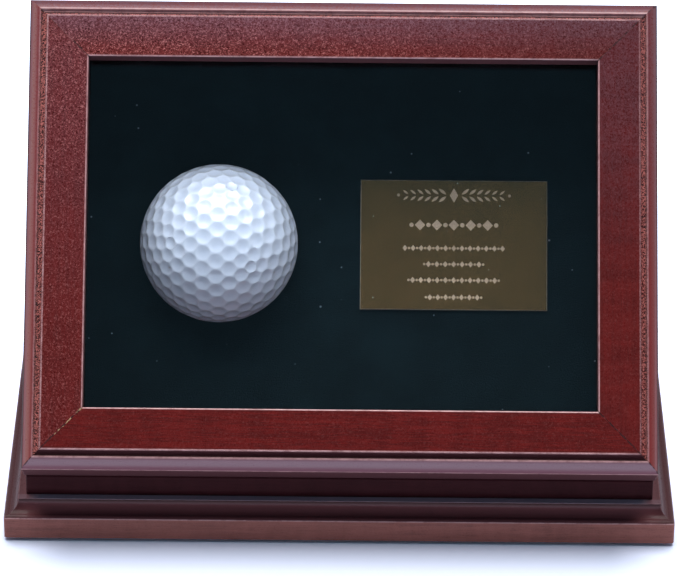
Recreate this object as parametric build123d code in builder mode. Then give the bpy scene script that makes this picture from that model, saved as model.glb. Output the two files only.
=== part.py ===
from build123d import *
from math import cos, radians, sin, sqrt
import os

# Sloped display case for one golf ball: a moulded base board carries a small wedge-shaped
# case whose sloped front is a hinged, glazed picture frame.  The case's top is square to that
# front and falls away behind it.  Inside, a felt-covered board lies parallel to the glass and
# holds the ball and an engraved plate.
# Millimetres, +Z up, the sloped front looks towards -Y.  The origin is on the surface that
# the case stands on, in the middle of the whole footprint.

# ---- driving dimensions: the glazed lid, measured on its sloped face -----------------------
SLOPE = 50.0            # rise of the face above the horizontal, degrees
LID_WIDTH = 167.0
LID_HEIGHT = 126.0      # up the slope
LID_THICKNESS = 16.0
LID_OVERHANG = 0.5      # beyond the case body on the left and on the right
LID_GAP = 0.3           # between the lid's back and the rim that it closes on

RAIL_WIDTH = 16.0       # outer edge to sight edge
EDGE_DROP = 4.2         # the outer arris lies this far behind the face
SHOULDER_IN = 3.1       # inner end of the outer ovolo
SHOULDER_DROP = 0.5
OVOLO_BULGE = 0.75
QUIRK_IN = 3.35         # bottom of the groove beside the ovolo
QUIRK_DROP = 1.3
FLAT_IN = 4.85          # where the flat face starts
COVE_HOLLOW = 0.3
SIGHT_ROUND = 0.4       # eased edge around the opening

LIP_DEPTH = 5.5         # face to the front of the glass
RABBET_WIDTH = 4.0      # how far the lip covers the glass
GLASS_THICKNESS = 2.0
GLASS_FIT = 0.4         # between the glass and the rabbet wall
BEAD_DEPTH = 5.5
BEAD_SETBACK = 2.0      # the beads stay this far behind the sight edge
BEAD_FIT = 0.05
BEAD_CHAMFER = 1.2

NAIL_LEG = 3.6          # legs of the corner nails, seen from the back
NAIL_THICKNESS = 0.6
NAIL_DEPTH = 6.0
NAIL_SPOTS = (3.4, 7.8) # from both outer edges to each nail's corner

# ---- driving dimensions: the case body -----------------------------------------------------
FRONT_HEIGHT = 6.0      # upright front below the lid
FRONT_THICKNESS = 8.0
SIDE_THICKNESS = 6.5
TOP_THICKNESS = 8.0
TOP_ROUND = 1.0
BACK_THICKNESS = 5.0

# ---- driving dimensions: the base board ----------------------------------------------------
BASE_MARGIN = 5.8       # all round, beyond the case body
FASCIA_HEIGHT = 6.0
MOULD_HEIGHT = 4.0      # above the fascia
MOULD_IN = 3.7          # fascia to the flat ledge
COVE_IN = 1.5           # small cove at the foot of the moulding
COVE_RISE = 0.6
COVE_DIP = 0.25
MOULD_BULGE = 0.75
FASCIA_ROUND = 0.8      # upright corners

FOOT_HEIGHT = 1.0
FOOT_RADIUS = 6.0
FOOT_INSET = 13.0       # from the board's edges to the middle of a foot

# ---- driving dimensions: what the case shows -----------------------------------------------
SHOW_DEPTH = 31.5       # back of the glass to the felt
FELT_THICKNESS = 1.0
BOARD_THICKNESS = 4.0
BOARD_FIT = 0.3         # display board to the walls around it
BALL_RADIUS = 21.335
BALL_FROM_LEFT = 34.4   # left sight edge to the ball's centre
BALL_ABOVE_MIDDLE = 2.5 # up the slope
BALL_LIFT = 7.0         # ball's centre in front of the felt
BALL_FIT = 0.15         # around the ball, in the board and in the felt
PLATE_WIDTH = 50.8
PLATE_HEIGHT = 35.8
PLATE_THICKNESS = 0.8
PLATE_FROM_RIGHT = 37.0 # right sight edge to the plate's middle
PLATE_ABOVE_MIDDLE = 3.7
CLEAT_SIZE = 6.0
CLEAT_MARGIN = 12.0     # display board's ends to the ends of the side cleats
TOE_CLEAT_INSET = 16.5   # from the case's sides to the ends of the toe cleat
TOE_CLEAT_HEIGHT = 5.0
TOE_CLEAT_WIDTH = 9.0

# ---- driving dimensions: hardware ----------------------------------------------------------
HINGE_INSET = 33.5      # end of the lid to the middle of a hinge
HINGE_LENGTH = 20.0
LEAF_WIDTH = 8.5
LEAF_THICKNESS = 0.8
KNUCKLE_RADIUS = 1.5
KNUCKLE_GAP = 0.15      # end play between the knuckles
KNUCKLE_ROOM = 0.25     # around a knuckle, in the wood and in the other leaf
PIN_RADIUS = 0.75
PIN_FIT = 0.05          # running fit of the pin
PIN_RISE = 0.15         # pin's axis above both leaves
MORTISE_FIT = 0.1
MAGNET_RADIUS = 3.0
MAGNET_THICKNESS = 3.0
STRIKE_RADIUS = 4.0
STRIKE_THICKNESS = 1.0
POCKET_FIT = 0.05       # around the magnet and the strike
SCREW_FIT = 0.05        # around every screw
CASE_SCREW_HEAD = 2.6
CASE_SCREW_SHANK = 1.3
CASE_SCREW_LENGTH = 16.0
HINGE_SCREW_HEAD = 1.3
HINGE_SCREW_SHANK = 0.7
HINGE_SCREW_LENGTH = 5.0
HINGE_SCREW_SPREAD = 12.0
SCREW_INSET = 14.0      # case screws from the ends of what they hold

# ---- places worked out from the dimensions above -------------------------------------------
rise = sin(radians(SLOPE))
run = cos(radians(SLOPE))

# Depths below the face and distances up the slope.
glass_back = LIP_DEPTH + GLASS_THICKNESS
felt_face = glass_back + SHOW_DEPTH
board_face = felt_face + FELT_THICKNESS
board_back = board_face + BOARD_THICKNESS
ball_depth = felt_face - BALL_LIFT
board_end = LID_HEIGHT - TOP_THICKNESS - BOARD_FIT

# The back stands just behind the display board, whose end lies under the case's top.
body_depth = (
    board_end * run + (board_back - LID_THICKNESS) * rise + BOARD_FIT + BACK_THICKNESS
)
body_width = LID_WIDTH - 2 * LID_OVERHANG
base_width = body_width + 2 * BASE_MARGIN
base_depth = body_depth + 2 * BASE_MARGIN
base_thickness = FASCIA_HEIGHT + MOULD_HEIGHT
base_top = FOOT_HEIGHT + base_thickness

# The ovolo's circle gives the foremost line of the lid.
ovolo_width = SHOULDER_IN
ovolo_height = EDGE_DROP - SHOULDER_DROP
ovolo_chord = sqrt(ovolo_width**2 + ovolo_height**2)
ovolo_radius = ovolo_chord**2 / (8 * OVOLO_BULGE) + OVOLO_BULGE / 2
ovolo_back = (ovolo_radius - OVOLO_BULGE) / ovolo_chord
ovolo_centre_in = ovolo_width / 2 + ovolo_height * ovolo_back
ovolo_centre_drop = (EDGE_DROP + SHOULDER_DROP) / 2 + ovolo_width * ovolo_back
nose = (LID_THICKNESS - ovolo_centre_drop) * rise - ovolo_centre_in * run + ovolo_radius

body_front = nose - (nose + body_depth + BASE_MARGIN) / 2
body_back = body_front + body_depth
back_inside = body_back - BACK_THICKNESS
front_inside = body_front + FRONT_THICKNESS
side_inside = body_width / 2 - SIDE_THICKNESS
base_middle = (body_front + body_back) / 2

# FACE lies on the lid's flat face: X to the right, Y up the slope, Z out of the case.
face_y = body_front - LID_THICKNESS * rise
face_z = base_top + FRONT_HEIGHT + LID_THICKNESS * run
FACE = Plane(origin=(0, face_y, face_z), x_dir=(1, 0, 0), z_dir=(0, -rise, run))
RIM = FACE.offset(-LID_THICKNESS - LID_GAP)

# TOP lies on the case's top, square to the face: X to the right, Y to the back, Z outwards.
TOP = Plane(
    origin=FACE.from_local_coords((0, LID_HEIGHT, -LID_THICKNESS)), x_dir=(1, 0, 0),
    z_dir=FACE.y_dir,
)
UNDER_TOP = TOP.offset(-TOP_THICKNESS)
BACK = Plane.XZ.offset(-body_back)
body_top = TOP.origin.Z

board_start = (base_top + BOARD_FIT - face_z + board_back * run) / rise
board_width = 2 * (side_inside - BOARD_FIT)
board_length = board_end - board_start
board_middle = (board_end + board_start) / 2

opening_width = LID_WIDTH - 2 * RAIL_WIDTH
opening_height = LID_HEIGHT - 2 * RAIL_WIDTH
lid_middle = LID_HEIGHT / 2
ball_x = BALL_FROM_LEFT - opening_width / 2
ball_up = lid_middle + BALL_ABOVE_MIDDLE
plate_x = opening_width / 2 - PLATE_FROM_RIGHT
plate_up = lid_middle + PLATE_ABOVE_MIDDLE
hinge_x = LID_WIDTH / 2 - HINGE_INSET
catch_up = FRONT_THICKNESS / run / 2
pin_place = TOP.from_local_coords((0, LID_GAP / 2, PIN_RISE))


def section_radius(ball_radius, distance):
    """Radius of the circle that a plane at this distance from a ball's centre cuts from it."""
    return sqrt(ball_radius**2 - distance**2)


def countersunk_screw(head_radius, shank_radius, length):
    """A screw whose head's face lies on XY and whose shank points down, with a cross recess."""
    head_depth = head_radius - shank_radius
    tip = 1.5 * shank_radius
    slot_width = 0.3 * head_radius
    slot_length = 1.3 * head_radius
    slot_depth = 0.6 * head_depth
    with BuildPart() as screw:
        with BuildSketch(Plane.XZ):
            with BuildLine():
                Polyline(
                    (0, 0), (head_radius, 0), (shank_radius, -head_depth),
                    (shank_radius, tip - length), (0, -length), (0, 0),
                )
            make_face()
        revolve(axis=Axis.Z)
        with BuildSketch(Plane.XY):
            Rectangle(slot_length, slot_width)
            Rectangle(slot_width, slot_length)
        extrude(amount=-slot_depth, mode=Mode.SUBTRACT)
    return screw.part


def screw_room(head_radius, shank_radius, length):
    """The clearance that a countersunk screw needs, in the screw's own place."""
    head = head_radius + SCREW_FIT
    shank = shank_radius + SCREW_FIT
    with BuildPart() as room:
        with BuildSketch(Plane.XZ):
            with BuildLine():
                Polyline(
                    (0, 0), (head, 0), (shank, shank - head),
                    (shank, -length - SCREW_FIT), (0, -length - SCREW_FIT), (0, 0),
                )
            make_face()
        revolve(axis=Axis.Z)
    return room.part


case_screw = countersunk_screw(CASE_SCREW_HEAD, CASE_SCREW_SHANK, CASE_SCREW_LENGTH)
case_screw_room = screw_room(CASE_SCREW_HEAD, CASE_SCREW_SHANK, CASE_SCREW_LENGTH)
hinge_screw = countersunk_screw(HINGE_SCREW_HEAD, HINGE_SCREW_SHANK, HINGE_SCREW_LENGTH)
hinge_screw_room = screw_room(HINGE_SCREW_HEAD, HINGE_SCREW_SHANK, HINGE_SCREW_LENGTH)

# Case screws: up through the base board, and forward through the back panel.
screw_x = side_inside + SIDE_THICKNESS / 2
base_screw_places = [
    Plane(origin=(x, y, FOOT_HEIGHT), z_dir=(0, 0, -1)).location
    for x in (-screw_x, screw_x)
    for y in (front_inside + SCREW_INSET, back_inside - SCREW_INSET)
]
back_fall = (TOP_THICKNESS + (body_back - TOP.origin.Y) * run) / rise
back_rise = body_top - back_fall - base_top
back_screw_places = [
    Plane(origin=(x, body_back, base_top + z), z_dir=(0, 1, 0)).location
    for x in (-screw_x, screw_x)
    for z in (SCREW_INSET, back_rise / 2, back_rise - SCREW_INSET)
]

# ---- base board and feet -------------------------------------------------------------------


def moulded_section(width):
    """Section of the base board: fascia, cove, ovolo and the flat ledge, on both edges."""
    half = width / 2
    with BuildSketch() as section:
        with BuildLine():
            Line((0, 0), (half, 0))
            Line((half, 0), (half, FASCIA_HEIGHT))
            foot = (half - COVE_IN, FASCIA_HEIGHT + COVE_RISE)
            ledge = (half - MOULD_IN, base_thickness)
            SagittaArc((half, FASCIA_HEIGHT), foot, -COVE_DIP)
            SagittaArc(foot, ledge, MOULD_BULGE)
            Line(ledge, (0, base_thickness))
            Line((0, base_thickness), (0, 0))
        make_face()
        mirror(about=Plane.YZ)
    return section.sketch


ACROSS = Plane(origin=(0, base_middle, FOOT_HEIGHT), x_dir=(1, 0, 0), z_dir=(0, -1, 0))
ALONG = Plane(origin=(0, base_middle, FOOT_HEIGHT), x_dir=(0, 1, 0), z_dir=(1, 0, 0))

with BuildPart() as base_board:
    with BuildSketch(ACROSS):
        add(moulded_section(base_width))
    extrude(amount=base_depth / 2, both=True)
    with BuildSketch(ALONG):
        add(moulded_section(base_depth))
    extrude(amount=base_width / 2, both=True, mode=Mode.INTERSECT)
    fillet(base_board.edges().filter_by(Axis.Z), FASCIA_ROUND)
    with Locations(*base_screw_places):
        add(case_screw_room, mode=Mode.SUBTRACT)
base_board.part.label = "base_board"

with BuildPart() as feet:
    with BuildSketch(Plane((0, base_middle, 0))):
        with GridLocations(base_width - 2 * FOOT_INSET, base_depth - 2 * FOOT_INSET, 2, 2):
            Circle(FOOT_RADIUS)
    extrude(amount=FOOT_HEIGHT)
feet.part.label = "feet"

with BuildPart() as base_screws:
    with Locations(*base_screw_places):
        add(case_screw)
base_screws.part.label = "base_screws"

# ---- case body -----------------------------------------------------------------------------

with BuildPart() as front_rail:
    with BuildSketch(Plane.XY.offset(base_top)):
        with Locations((0, (body_front + front_inside) / 2)):
            Rectangle(body_width, FRONT_THICKNESS)
    extrude(amount=body_top - base_top)
    split(bisect_by=RIM, keep=Keep.BOTTOM)
    with BuildSketch(RIM):
        with Locations((0, catch_up)):
            Circle(STRIKE_RADIUS + POCKET_FIT)
    extrude(amount=-STRIKE_THICKNESS, mode=Mode.SUBTRACT)
front_rail.part.label = "front_rail"

with BuildPart() as strike_plate:
    with BuildSketch(RIM):
        with Locations((0, catch_up)):
            Circle(STRIKE_RADIUS)
    extrude(amount=-STRIKE_THICKNESS)
strike_plate.part.label = "strike_plate"


def side_panel(direction):
    """A side of the case, cut along the slope; direction is -1 on the left, 1 on the right."""
    with BuildPart() as panel:
        with BuildSketch(Plane.XY.offset(base_top)):
            with Locations((direction * screw_x, (front_inside + back_inside) / 2)):
                Rectangle(SIDE_THICKNESS, back_inside - front_inside)
        extrude(amount=body_top - base_top)
        split(bisect_by=RIM, keep=Keep.BOTTOM)
        split(bisect_by=UNDER_TOP, keep=Keep.BOTTOM)
        with Locations(*base_screw_places, *back_screw_places):
            add(case_screw_room, mode=Mode.SUBTRACT)
    return panel.part


left_side = side_panel(-1)
left_side.label = "left_side"
right_side = side_panel(1)
right_side.label = "right_side"

with BuildPart() as back_panel:
    with BuildSketch(BACK):
        with Locations((0, (base_top + body_top) / 2)):
            Rectangle(body_width, body_top - base_top)
    extrude(amount=BACK_THICKNESS)
    split(bisect_by=UNDER_TOP, keep=Keep.BOTTOM)
    with Locations(*back_screw_places):
        add(case_screw_room, mode=Mode.SUBTRACT)
back_panel.part.label = "back_panel"

with BuildPart() as back_screws:
    with Locations(*back_screw_places):
        add(case_screw)
back_screws.part.label = "back_screws"

# ---- hinges --------------------------------------------------------------------------------

# In a hinge's planes X runs along the pin, Y across the leaf and Z out of the wood.
knuckle_length = HINGE_LENGTH / 3


def hinge_plane(x, on_lid):
    """Plane on the pin's axis for the leaf on the lid, or for the leaf on the case."""
    x_dir = (-1, 0, 0) if on_lid else (1, 0, 0)
    return Plane(origin=(x, pin_place.Y, pin_place.Z), x_dir=x_dir, z_dir=TOP.z_dir)


def along_pin(plane, radius, spans):
    """Cylinders round the pin's axis, each span given by its middle and length."""
    with BuildPart() as rollers:
        for middle, length in spans:
            with BuildSketch(Plane(plane.from_local_coords((middle, 0, 0)), z_dir=plane.x_dir)):
                Circle(radius)
            extrude(amount=length / 2, both=True)
    return rollers.part


def leaf_screw_places(plane):
    """The two screws of a leaf, heads flush with its open face."""
    across = (KNUCKLE_RADIUS + LEAF_WIDTH) / 2
    return [
        plane.location * Location((x, across, -PIN_RISE))
        for x in (-HINGE_SCREW_SPREAD / 2, HINGE_SCREW_SPREAD / 2)
    ]


middle_span = [(0, knuckle_length - KNUCKLE_GAP)]
outer_spans = [(-knuckle_length, knuckle_length), (knuckle_length, knuckle_length)]
middle_room = [(0, knuckle_length)]
outer_room = [
    (-knuckle_length, knuckle_length + KNUCKLE_GAP),
    (knuckle_length, knuckle_length + KNUCKLE_GAP),
]


def hinge_leaf(x, on_lid):
    """A leaf with its knuckles: the middle one on the lid's leaf, the outer two on the case's."""
    plane = hinge_plane(x, on_lid)
    own, other = (middle_span, outer_room) if on_lid else (outer_spans, middle_room)
    with BuildPart() as leaf:
        with BuildSketch(plane.offset(-PIN_RISE - LEAF_THICKNESS)):
            with Locations((0, LEAF_WIDTH / 2)):
                Rectangle(HINGE_LENGTH, LEAF_WIDTH)
        extrude(amount=LEAF_THICKNESS)
        add(along_pin(plane, KNUCKLE_RADIUS + KNUCKLE_ROOM, other), mode=Mode.SUBTRACT)
        add(along_pin(plane, KNUCKLE_RADIUS, own))
        add(along_pin(plane, PIN_RADIUS + PIN_FIT, [(0, HINGE_LENGTH)]), mode=Mode.SUBTRACT)
        with Locations(*leaf_screw_places(plane)):
            add(hinge_screw_room, mode=Mode.SUBTRACT)
    return leaf.part


def hinge_mortise(x, on_lid):
    """What the wood gives way to: the leaf's bed, the knuckles and the screws."""
    plane = hinge_plane(x, on_lid)
    room = [(0, HINGE_LENGTH + 2 * MORTISE_FIT)]
    with BuildPart() as mortise:
        with BuildSketch(plane.offset(-PIN_RISE - LEAF_THICKNESS)):
            with Locations((0, (LEAF_WIDTH + MORTISE_FIT) / 2)):
                Rectangle(HINGE_LENGTH + 2 * MORTISE_FIT, LEAF_WIDTH + MORTISE_FIT)
        extrude(amount=LEAF_THICKNESS + PIN_RISE)
        add(along_pin(plane, KNUCKLE_RADIUS + KNUCKLE_ROOM, room))
        with Locations(*leaf_screw_places(plane)):
            add(hinge_screw_room)
    return mortise.part


hinge_spots = {"left": -hinge_x, "right": hinge_x}

with BuildPart() as top_board:
    with BuildSketch(UNDER_TOP):
        with Locations((0, body_depth / 2)):
            Rectangle(body_width, body_depth)
    extrude(amount=TOP_THICKNESS)
    split(bisect_by=RIM, keep=Keep.BOTTOM)
    split(bisect_by=BACK, keep=Keep.TOP)
    top_edges = top_board.faces().sort_by(Axis(TOP.origin, TOP.z_dir))[-1].edges()
    fillet(top_edges - [top_edges.sort_by(Axis.Y)[0]], TOP_ROUND)
    for x in hinge_spots.values():
        add(hinge_mortise(x, on_lid=False), mode=Mode.SUBTRACT)
top_board.part.label = "top_board"

# ---- what the case shows -------------------------------------------------------------------


def show_layer(depth, thickness, hole_radius):
    """A sheet parallel to the glass, with the hole that the ball sits in."""
    with BuildPart() as layer:
        with BuildSketch(FACE.offset(-depth)):
            with Locations((0, board_middle)):
                Rectangle(board_width, board_length)
            with Locations((ball_x, ball_up)):
                Circle(hole_radius, mode=Mode.SUBTRACT)
        extrude(amount=-thickness)
    return layer.part


display_board = show_layer(
    board_face, BOARD_THICKNESS, section_radius(BALL_RADIUS, board_face - ball_depth) + BALL_FIT
)
display_board.label = "display_board"
felt_cover = show_layer(
    felt_face, FELT_THICKNESS, section_radius(BALL_RADIUS, felt_face - ball_depth) + BALL_FIT
)
felt_cover.label = "felt_cover"

with BuildPart() as golf_ball:
    with Locations(FACE.from_local_coords((ball_x, ball_up, -ball_depth))):
        Sphere(BALL_RADIUS)
golf_ball.part.label = "golf_ball"

with BuildPart() as name_plate:
    with BuildSketch(FACE.offset(-felt_face)):
        with Locations((plate_x, plate_up)):
            Rectangle(PLATE_WIDTH, PLATE_HEIGHT)
    extrude(amount=PLATE_THICKNESS)
name_plate.part.label = "name_plate"


def side_cleat(direction):
    """Strip on a side's inner face, under the display board."""
    with BuildPart() as cleat:
        with BuildSketch(FACE.offset(-board_back)):
            with Locations((direction * (side_inside - CLEAT_SIZE / 2), board_middle)):
                Rectangle(CLEAT_SIZE, board_length - 2 * CLEAT_MARGIN)
        extrude(amount=-CLEAT_SIZE)
    return cleat.part


left_cleat = side_cleat(-1)
left_cleat.label = "left_cleat"
right_cleat = side_cleat(1)
right_cleat.label = "right_cleat"

# The toe cleat stands on the base board, behind the display board's lower end.
toe_front = FACE.from_local_coords((0, board_start, -board_back)).Y
with BuildPart() as toe_cleat:
    with BuildSketch(Plane.XY.offset(base_top)):
        with Locations((0, toe_front + TOE_CLEAT_WIDTH / 2)):
            Rectangle(2 * (side_inside - TOE_CLEAT_INSET), TOE_CLEAT_WIDTH)
    extrude(amount=TOE_CLEAT_HEIGHT)
    split(bisect_by=FACE.offset(-board_back), keep=Keep.BOTTOM)
toe_cleat.part.label = "toe_cleat"

# ---- lid -----------------------------------------------------------------------------------


def rail_plane(side, inset=0.0):
    """Plane at the middle of a side's outer edge: X along it, Y to the opening, Z outwards."""
    across = Vector(1, 0, 0)
    up = FACE.y_dir
    half = LID_WIDTH / 2 - inset
    place, x_dir = {
        "bottom": ((0, inset, 0), across),
        "top": ((0, LID_HEIGHT - inset, 0), -across),
        "left": ((-half, lid_middle, 0), -up),
        "right": ((half, lid_middle, 0), up),
    }[side]
    return Plane(origin=FACE.from_local_coords(place), x_dir=x_dir, z_dir=FACE.z_dir)


def mitred_strip(plane, length, section):
    """A strip of the given section along the plane's X, mitred at both ends."""
    start = plane.from_local_coords((-length / 2, 0, 0))
    end = plane.from_local_coords((length / 2, 0, 0))
    with BuildPart() as strip:
        with BuildSketch(Plane(origin=start, x_dir=plane.y_dir, z_dir=plane.x_dir)):
            add(section)
        extrude(amount=length)
        split(bisect_by=Plane(start, z_dir=plane.x_dir - plane.y_dir), keep=Keep.TOP)
        split(bisect_by=Plane(end, z_dir=-plane.x_dir - plane.y_dir), keep=Keep.TOP)
    return strip.part


# Section of the moulding: X from the outer edge to the opening, Y up to the face.
with BuildSketch() as rail_section:
    with BuildLine():
        shoulder = (SHOULDER_IN, -SHOULDER_DROP)
        quirk = (QUIRK_IN, -QUIRK_DROP)
        sight = (RAIL_WIDTH, -SIGHT_ROUND)
        rabbet = RAIL_WIDTH - RABBET_WIDTH
        SagittaArc((0, -EDGE_DROP), shoulder, OVOLO_BULGE)
        Line(shoulder, quirk)
        SagittaArc(quirk, (FLAT_IN, 0), -COVE_HOLLOW)
        Line((FLAT_IN, 0), (RAIL_WIDTH - SIGHT_ROUND, 0))
        JernArc((RAIL_WIDTH - SIGHT_ROUND, 0), (1, 0), SIGHT_ROUND, -90)
        Polyline(
            sight, (RAIL_WIDTH, -LIP_DEPTH), (rabbet, -LIP_DEPTH), (rabbet, -LID_THICKNESS),
            (0, -LID_THICKNESS), (0, -EDGE_DROP),
        )
    make_face()

# Section of a glazing bead, from the rabbet wall to just behind the sight edge.
bead_width = RABBET_WIDTH - BEAD_FIT - BEAD_SETBACK
with BuildSketch() as bead_section:
    with BuildLine():
        Polyline(
            (0, -glass_back), (bead_width, -glass_back),
            (bead_width, BEAD_CHAMFER - glass_back - BEAD_DEPTH),
            (bead_width - BEAD_CHAMFER, -glass_back - BEAD_DEPTH),
            (0, -glass_back - BEAD_DEPTH), (0, -glass_back),
        )
    make_face()

# Two bent nails in the back of each corner draw its mitre together.
with BuildPart() as corner_nails:
    for side_x in (-1, 1):
        for side_y in (-1, 1):
            with BuildSketch(FACE.offset(-LID_THICKNESS)):
                for spot in NAIL_SPOTS:
                    corner_x = side_x * (LID_WIDTH / 2 - spot)
                    corner_y = lid_middle + side_y * (lid_middle - spot)
                    with Locations((corner_x - side_x * NAIL_LEG / 2,
                                    corner_y - side_y * NAIL_THICKNESS / 2)):
                        Rectangle(NAIL_LEG, NAIL_THICKNESS)
                    with Locations((corner_x - side_x * NAIL_THICKNESS / 2,
                                    corner_y - side_y * NAIL_LEG / 2)):
                        Rectangle(NAIL_THICKNESS, NAIL_LEG)
            extrude(amount=NAIL_DEPTH)
corner_nails.part.label = "corner_nails"

with BuildPart() as catch_magnet:
    with BuildSketch(FACE.offset(-LID_THICKNESS)):
        with Locations((0, catch_up)):
            Circle(MAGNET_RADIUS)
    extrude(amount=MAGNET_THICKNESS)
catch_magnet.part.label = "catch_magnet"

with BuildPart() as magnet_pocket:
    with BuildSketch(FACE.offset(-LID_THICKNESS)):
        with Locations((0, catch_up)):
            Circle(MAGNET_RADIUS + POCKET_FIT)
    extrude(amount=MAGNET_THICKNESS)

lid_cuts = {
    "bottom": [magnet_pocket.part],
    "top": [hinge_mortise(x, on_lid=True) for x in hinge_spots.values()],
    "left": [],
    "right": [],
}
lid_parts = []
side_lengths = {
    "bottom": LID_WIDTH, "top": LID_WIDTH, "left": LID_HEIGHT, "right": LID_HEIGHT,
}
bead_inset = RAIL_WIDTH - RABBET_WIDTH + BEAD_FIT
for side, length in side_lengths.items():
    with BuildPart() as rail:
        add(mitred_strip(rail_plane(side), length, rail_section.sketch))
        add(corner_nails.part, mode=Mode.SUBTRACT)
        for cut in lid_cuts[side]:
            add(cut, mode=Mode.SUBTRACT)
    rail.part.label = "frame_" + side
    lid_parts.append(rail.part)
    bead = mitred_strip(
        rail_plane(side, bead_inset), length - 2 * bead_inset, bead_section.sketch
    )
    bead.label = "bead_" + side
    lid_parts.append(bead)

with BuildPart() as glass_pane:
    with BuildSketch(FACE.offset(-glass_back)):
        with Locations((0, lid_middle)):
            grip = 2 * (RABBET_WIDTH - GLASS_FIT)
            Rectangle(opening_width + grip, opening_height + grip)
    extrude(amount=GLASS_THICKNESS)
glass_pane.part.label = "glass_pane"

hinge_parts = []
for name, x in hinge_spots.items():
    case_leaf = hinge_leaf(x, on_lid=False)
    case_leaf.label = name + "_hinge_case_leaf"
    lid_leaf = hinge_leaf(x, on_lid=True)
    lid_leaf.label = name + "_hinge_lid_leaf"
    pin = along_pin(hinge_plane(x, on_lid=False), PIN_RADIUS, [(0, HINGE_LENGTH)])
    pin.label = name + "_hinge_pin"
    hinge_parts += [case_leaf, lid_leaf, pin]


def hinge_screws(on_lid):
    """The screws of both hinges that go into the lid, or into the case."""
    with BuildPart() as screws:
        for x in hinge_spots.values():
            with Locations(*leaf_screw_places(hinge_plane(x, on_lid))):
                add(hinge_screw)
    return screws.part


case_hinge_screws = hinge_screws(on_lid=False)
case_hinge_screws.label = "case_hinge_screws"
lid_hinge_screws = hinge_screws(on_lid=True)
lid_hinge_screws.label = "lid_hinge_screws"

# ---- one file for each piece ---------------------------------------------------------------
pieces = [
    base_board.part, feet.part, base_screws.part, front_rail.part, strike_plate.part,
    left_side, right_side, back_panel.part, back_screws.part, top_board.part,
    display_board, felt_cover, golf_ball.part, name_plate.part,
    left_cleat, right_cleat, toe_cleat.part,
    *lid_parts, corner_nails.part, catch_magnet.part, glass_pane.part,
    *hinge_parts, case_hinge_screws, lid_hinge_screws,
]
os.makedirs("parts", exist_ok=True)
for piece in pieces:
    export_step(piece, "parts/" + piece.label + ".step")
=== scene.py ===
import math

import bmesh
import bpy
from bpy.props import FloatProperty, FloatVectorProperty, IntProperty, PointerProperty
from mathutils import Matrix, Vector, noise
from mathutils.geometry import delaunay_2d_cdt


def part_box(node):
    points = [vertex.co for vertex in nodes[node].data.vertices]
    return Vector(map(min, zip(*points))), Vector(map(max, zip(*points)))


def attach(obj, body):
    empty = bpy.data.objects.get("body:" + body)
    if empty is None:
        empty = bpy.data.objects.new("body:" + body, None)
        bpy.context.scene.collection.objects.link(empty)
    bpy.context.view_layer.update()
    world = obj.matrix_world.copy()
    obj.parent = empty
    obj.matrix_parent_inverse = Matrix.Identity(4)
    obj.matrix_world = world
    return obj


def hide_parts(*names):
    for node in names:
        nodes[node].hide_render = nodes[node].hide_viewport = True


bl_info = {
    "name": "Golf Ball Display Case",
    "version": (1, 0, 0),
    "blender": (4, 5, 0),
    "location": "3D View > Sidebar > Display Case",
    "description": "Dresses a sloped, glazed display case for one golf ball and an engraved plate",
    "category": "Object",
}

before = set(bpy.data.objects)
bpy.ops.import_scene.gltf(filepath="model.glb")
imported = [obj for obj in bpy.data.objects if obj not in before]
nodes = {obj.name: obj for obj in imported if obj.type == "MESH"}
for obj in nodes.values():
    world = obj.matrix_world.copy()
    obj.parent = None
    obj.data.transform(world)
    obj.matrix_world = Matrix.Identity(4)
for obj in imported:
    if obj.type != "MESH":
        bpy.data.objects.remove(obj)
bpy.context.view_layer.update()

CASE = "case"               # the body that all the new pieces ride on
MM = 0.001
SENSOR_WIDTH = 36.0
NEAR_CLIP = 0.05
FAR_CLIP = 50
FLOOR_SIZE = 6
# Painted light: the paper is made brighter behind the case, which lifts the case's shadow there.
FAR_FLOOR = 1.6             # how much brighter the paper shows behind the case
FRONT_LAMP_COLOUR = (0.93, 0.95, 1.0)
FRONT_LAMP_SIZE = 0.5
FRONT_LAMP_PLACE = (0, -1.1, 0.35)
FRONT_LAMP_TILT = math.radians(75)


# ---- places taken from the frame ----


def slope_axes():
    """Across, up the slope and out of the case, from the glass pane's widest face."""
    pane = max(nodes["glass_pane"].data.polygons, key=lambda face: face.area).normal
    out = Vector(pane if pane.y < 0 else -pane).normalized()
    across = Vector((1, 0, 0))
    return across, out.cross(across).normalized(), out


ACROSS, UP, OUT = slope_axes()
SLOPE = Matrix((ACROSS, UP, OUT))   # turns a point into slope coordinates
UPRIGHT = Matrix.Identity(3)
SKYWARD = Vector((0, 0, 1))


def slope_box(*names):
    """Lowest and highest slope coordinates of some CAD nodes."""
    spots = [SLOPE @ corner.co for name in names for corner in nodes[name].data.vertices]
    low = Vector([min(spot[i] for spot in spots) for i in range(3)])
    high = Vector([max(spot[i] for spot in spots) for i in range(3)])
    return low, high


def from_slope(spot):
    """The point of the frame with these slope coordinates."""
    return SLOPE.transposed() @ Vector(spot)


def grain_axes(along, out):
    """Rows along the grain, across it, and out of the surface."""
    return Matrix((along, out.cross(along), out))


LID_LOW, LID_HIGH = slope_box("frame_bottom", "frame_top", "frame_left", "frame_right")
FACE_CENTRE = Vector((0, (LID_LOW.y + LID_HIGH.y) / 2, LID_HIGH.z))
FLAT_GRAIN = grain_axes(ACROSS, OUT)
STEEP_GRAIN = grain_axes(UP, OUT)
LEVEL_GRAIN = grain_axes(ACROSS, SKYWARD)
FRONT_GRAIN = grain_axes(ACROSS, Vector((0, -1, 0)))
SIDE_GRAIN = grain_axes(Vector((0, 1, 0)), ACROSS)


# ---- settings ----


def a_colour(name, description, default):
    return FloatVectorProperty(
        name=name, description=description, default=default, subtype="COLOR", min=0, max=1
    )


def an_amount(name, description, default, **more):
    return FloatProperty(name=name, description=description, default=default, min=0, **more)


def a_length(name, description, default):
    return an_amount(name, description, default, unit="LENGTH", precision=5)


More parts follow.
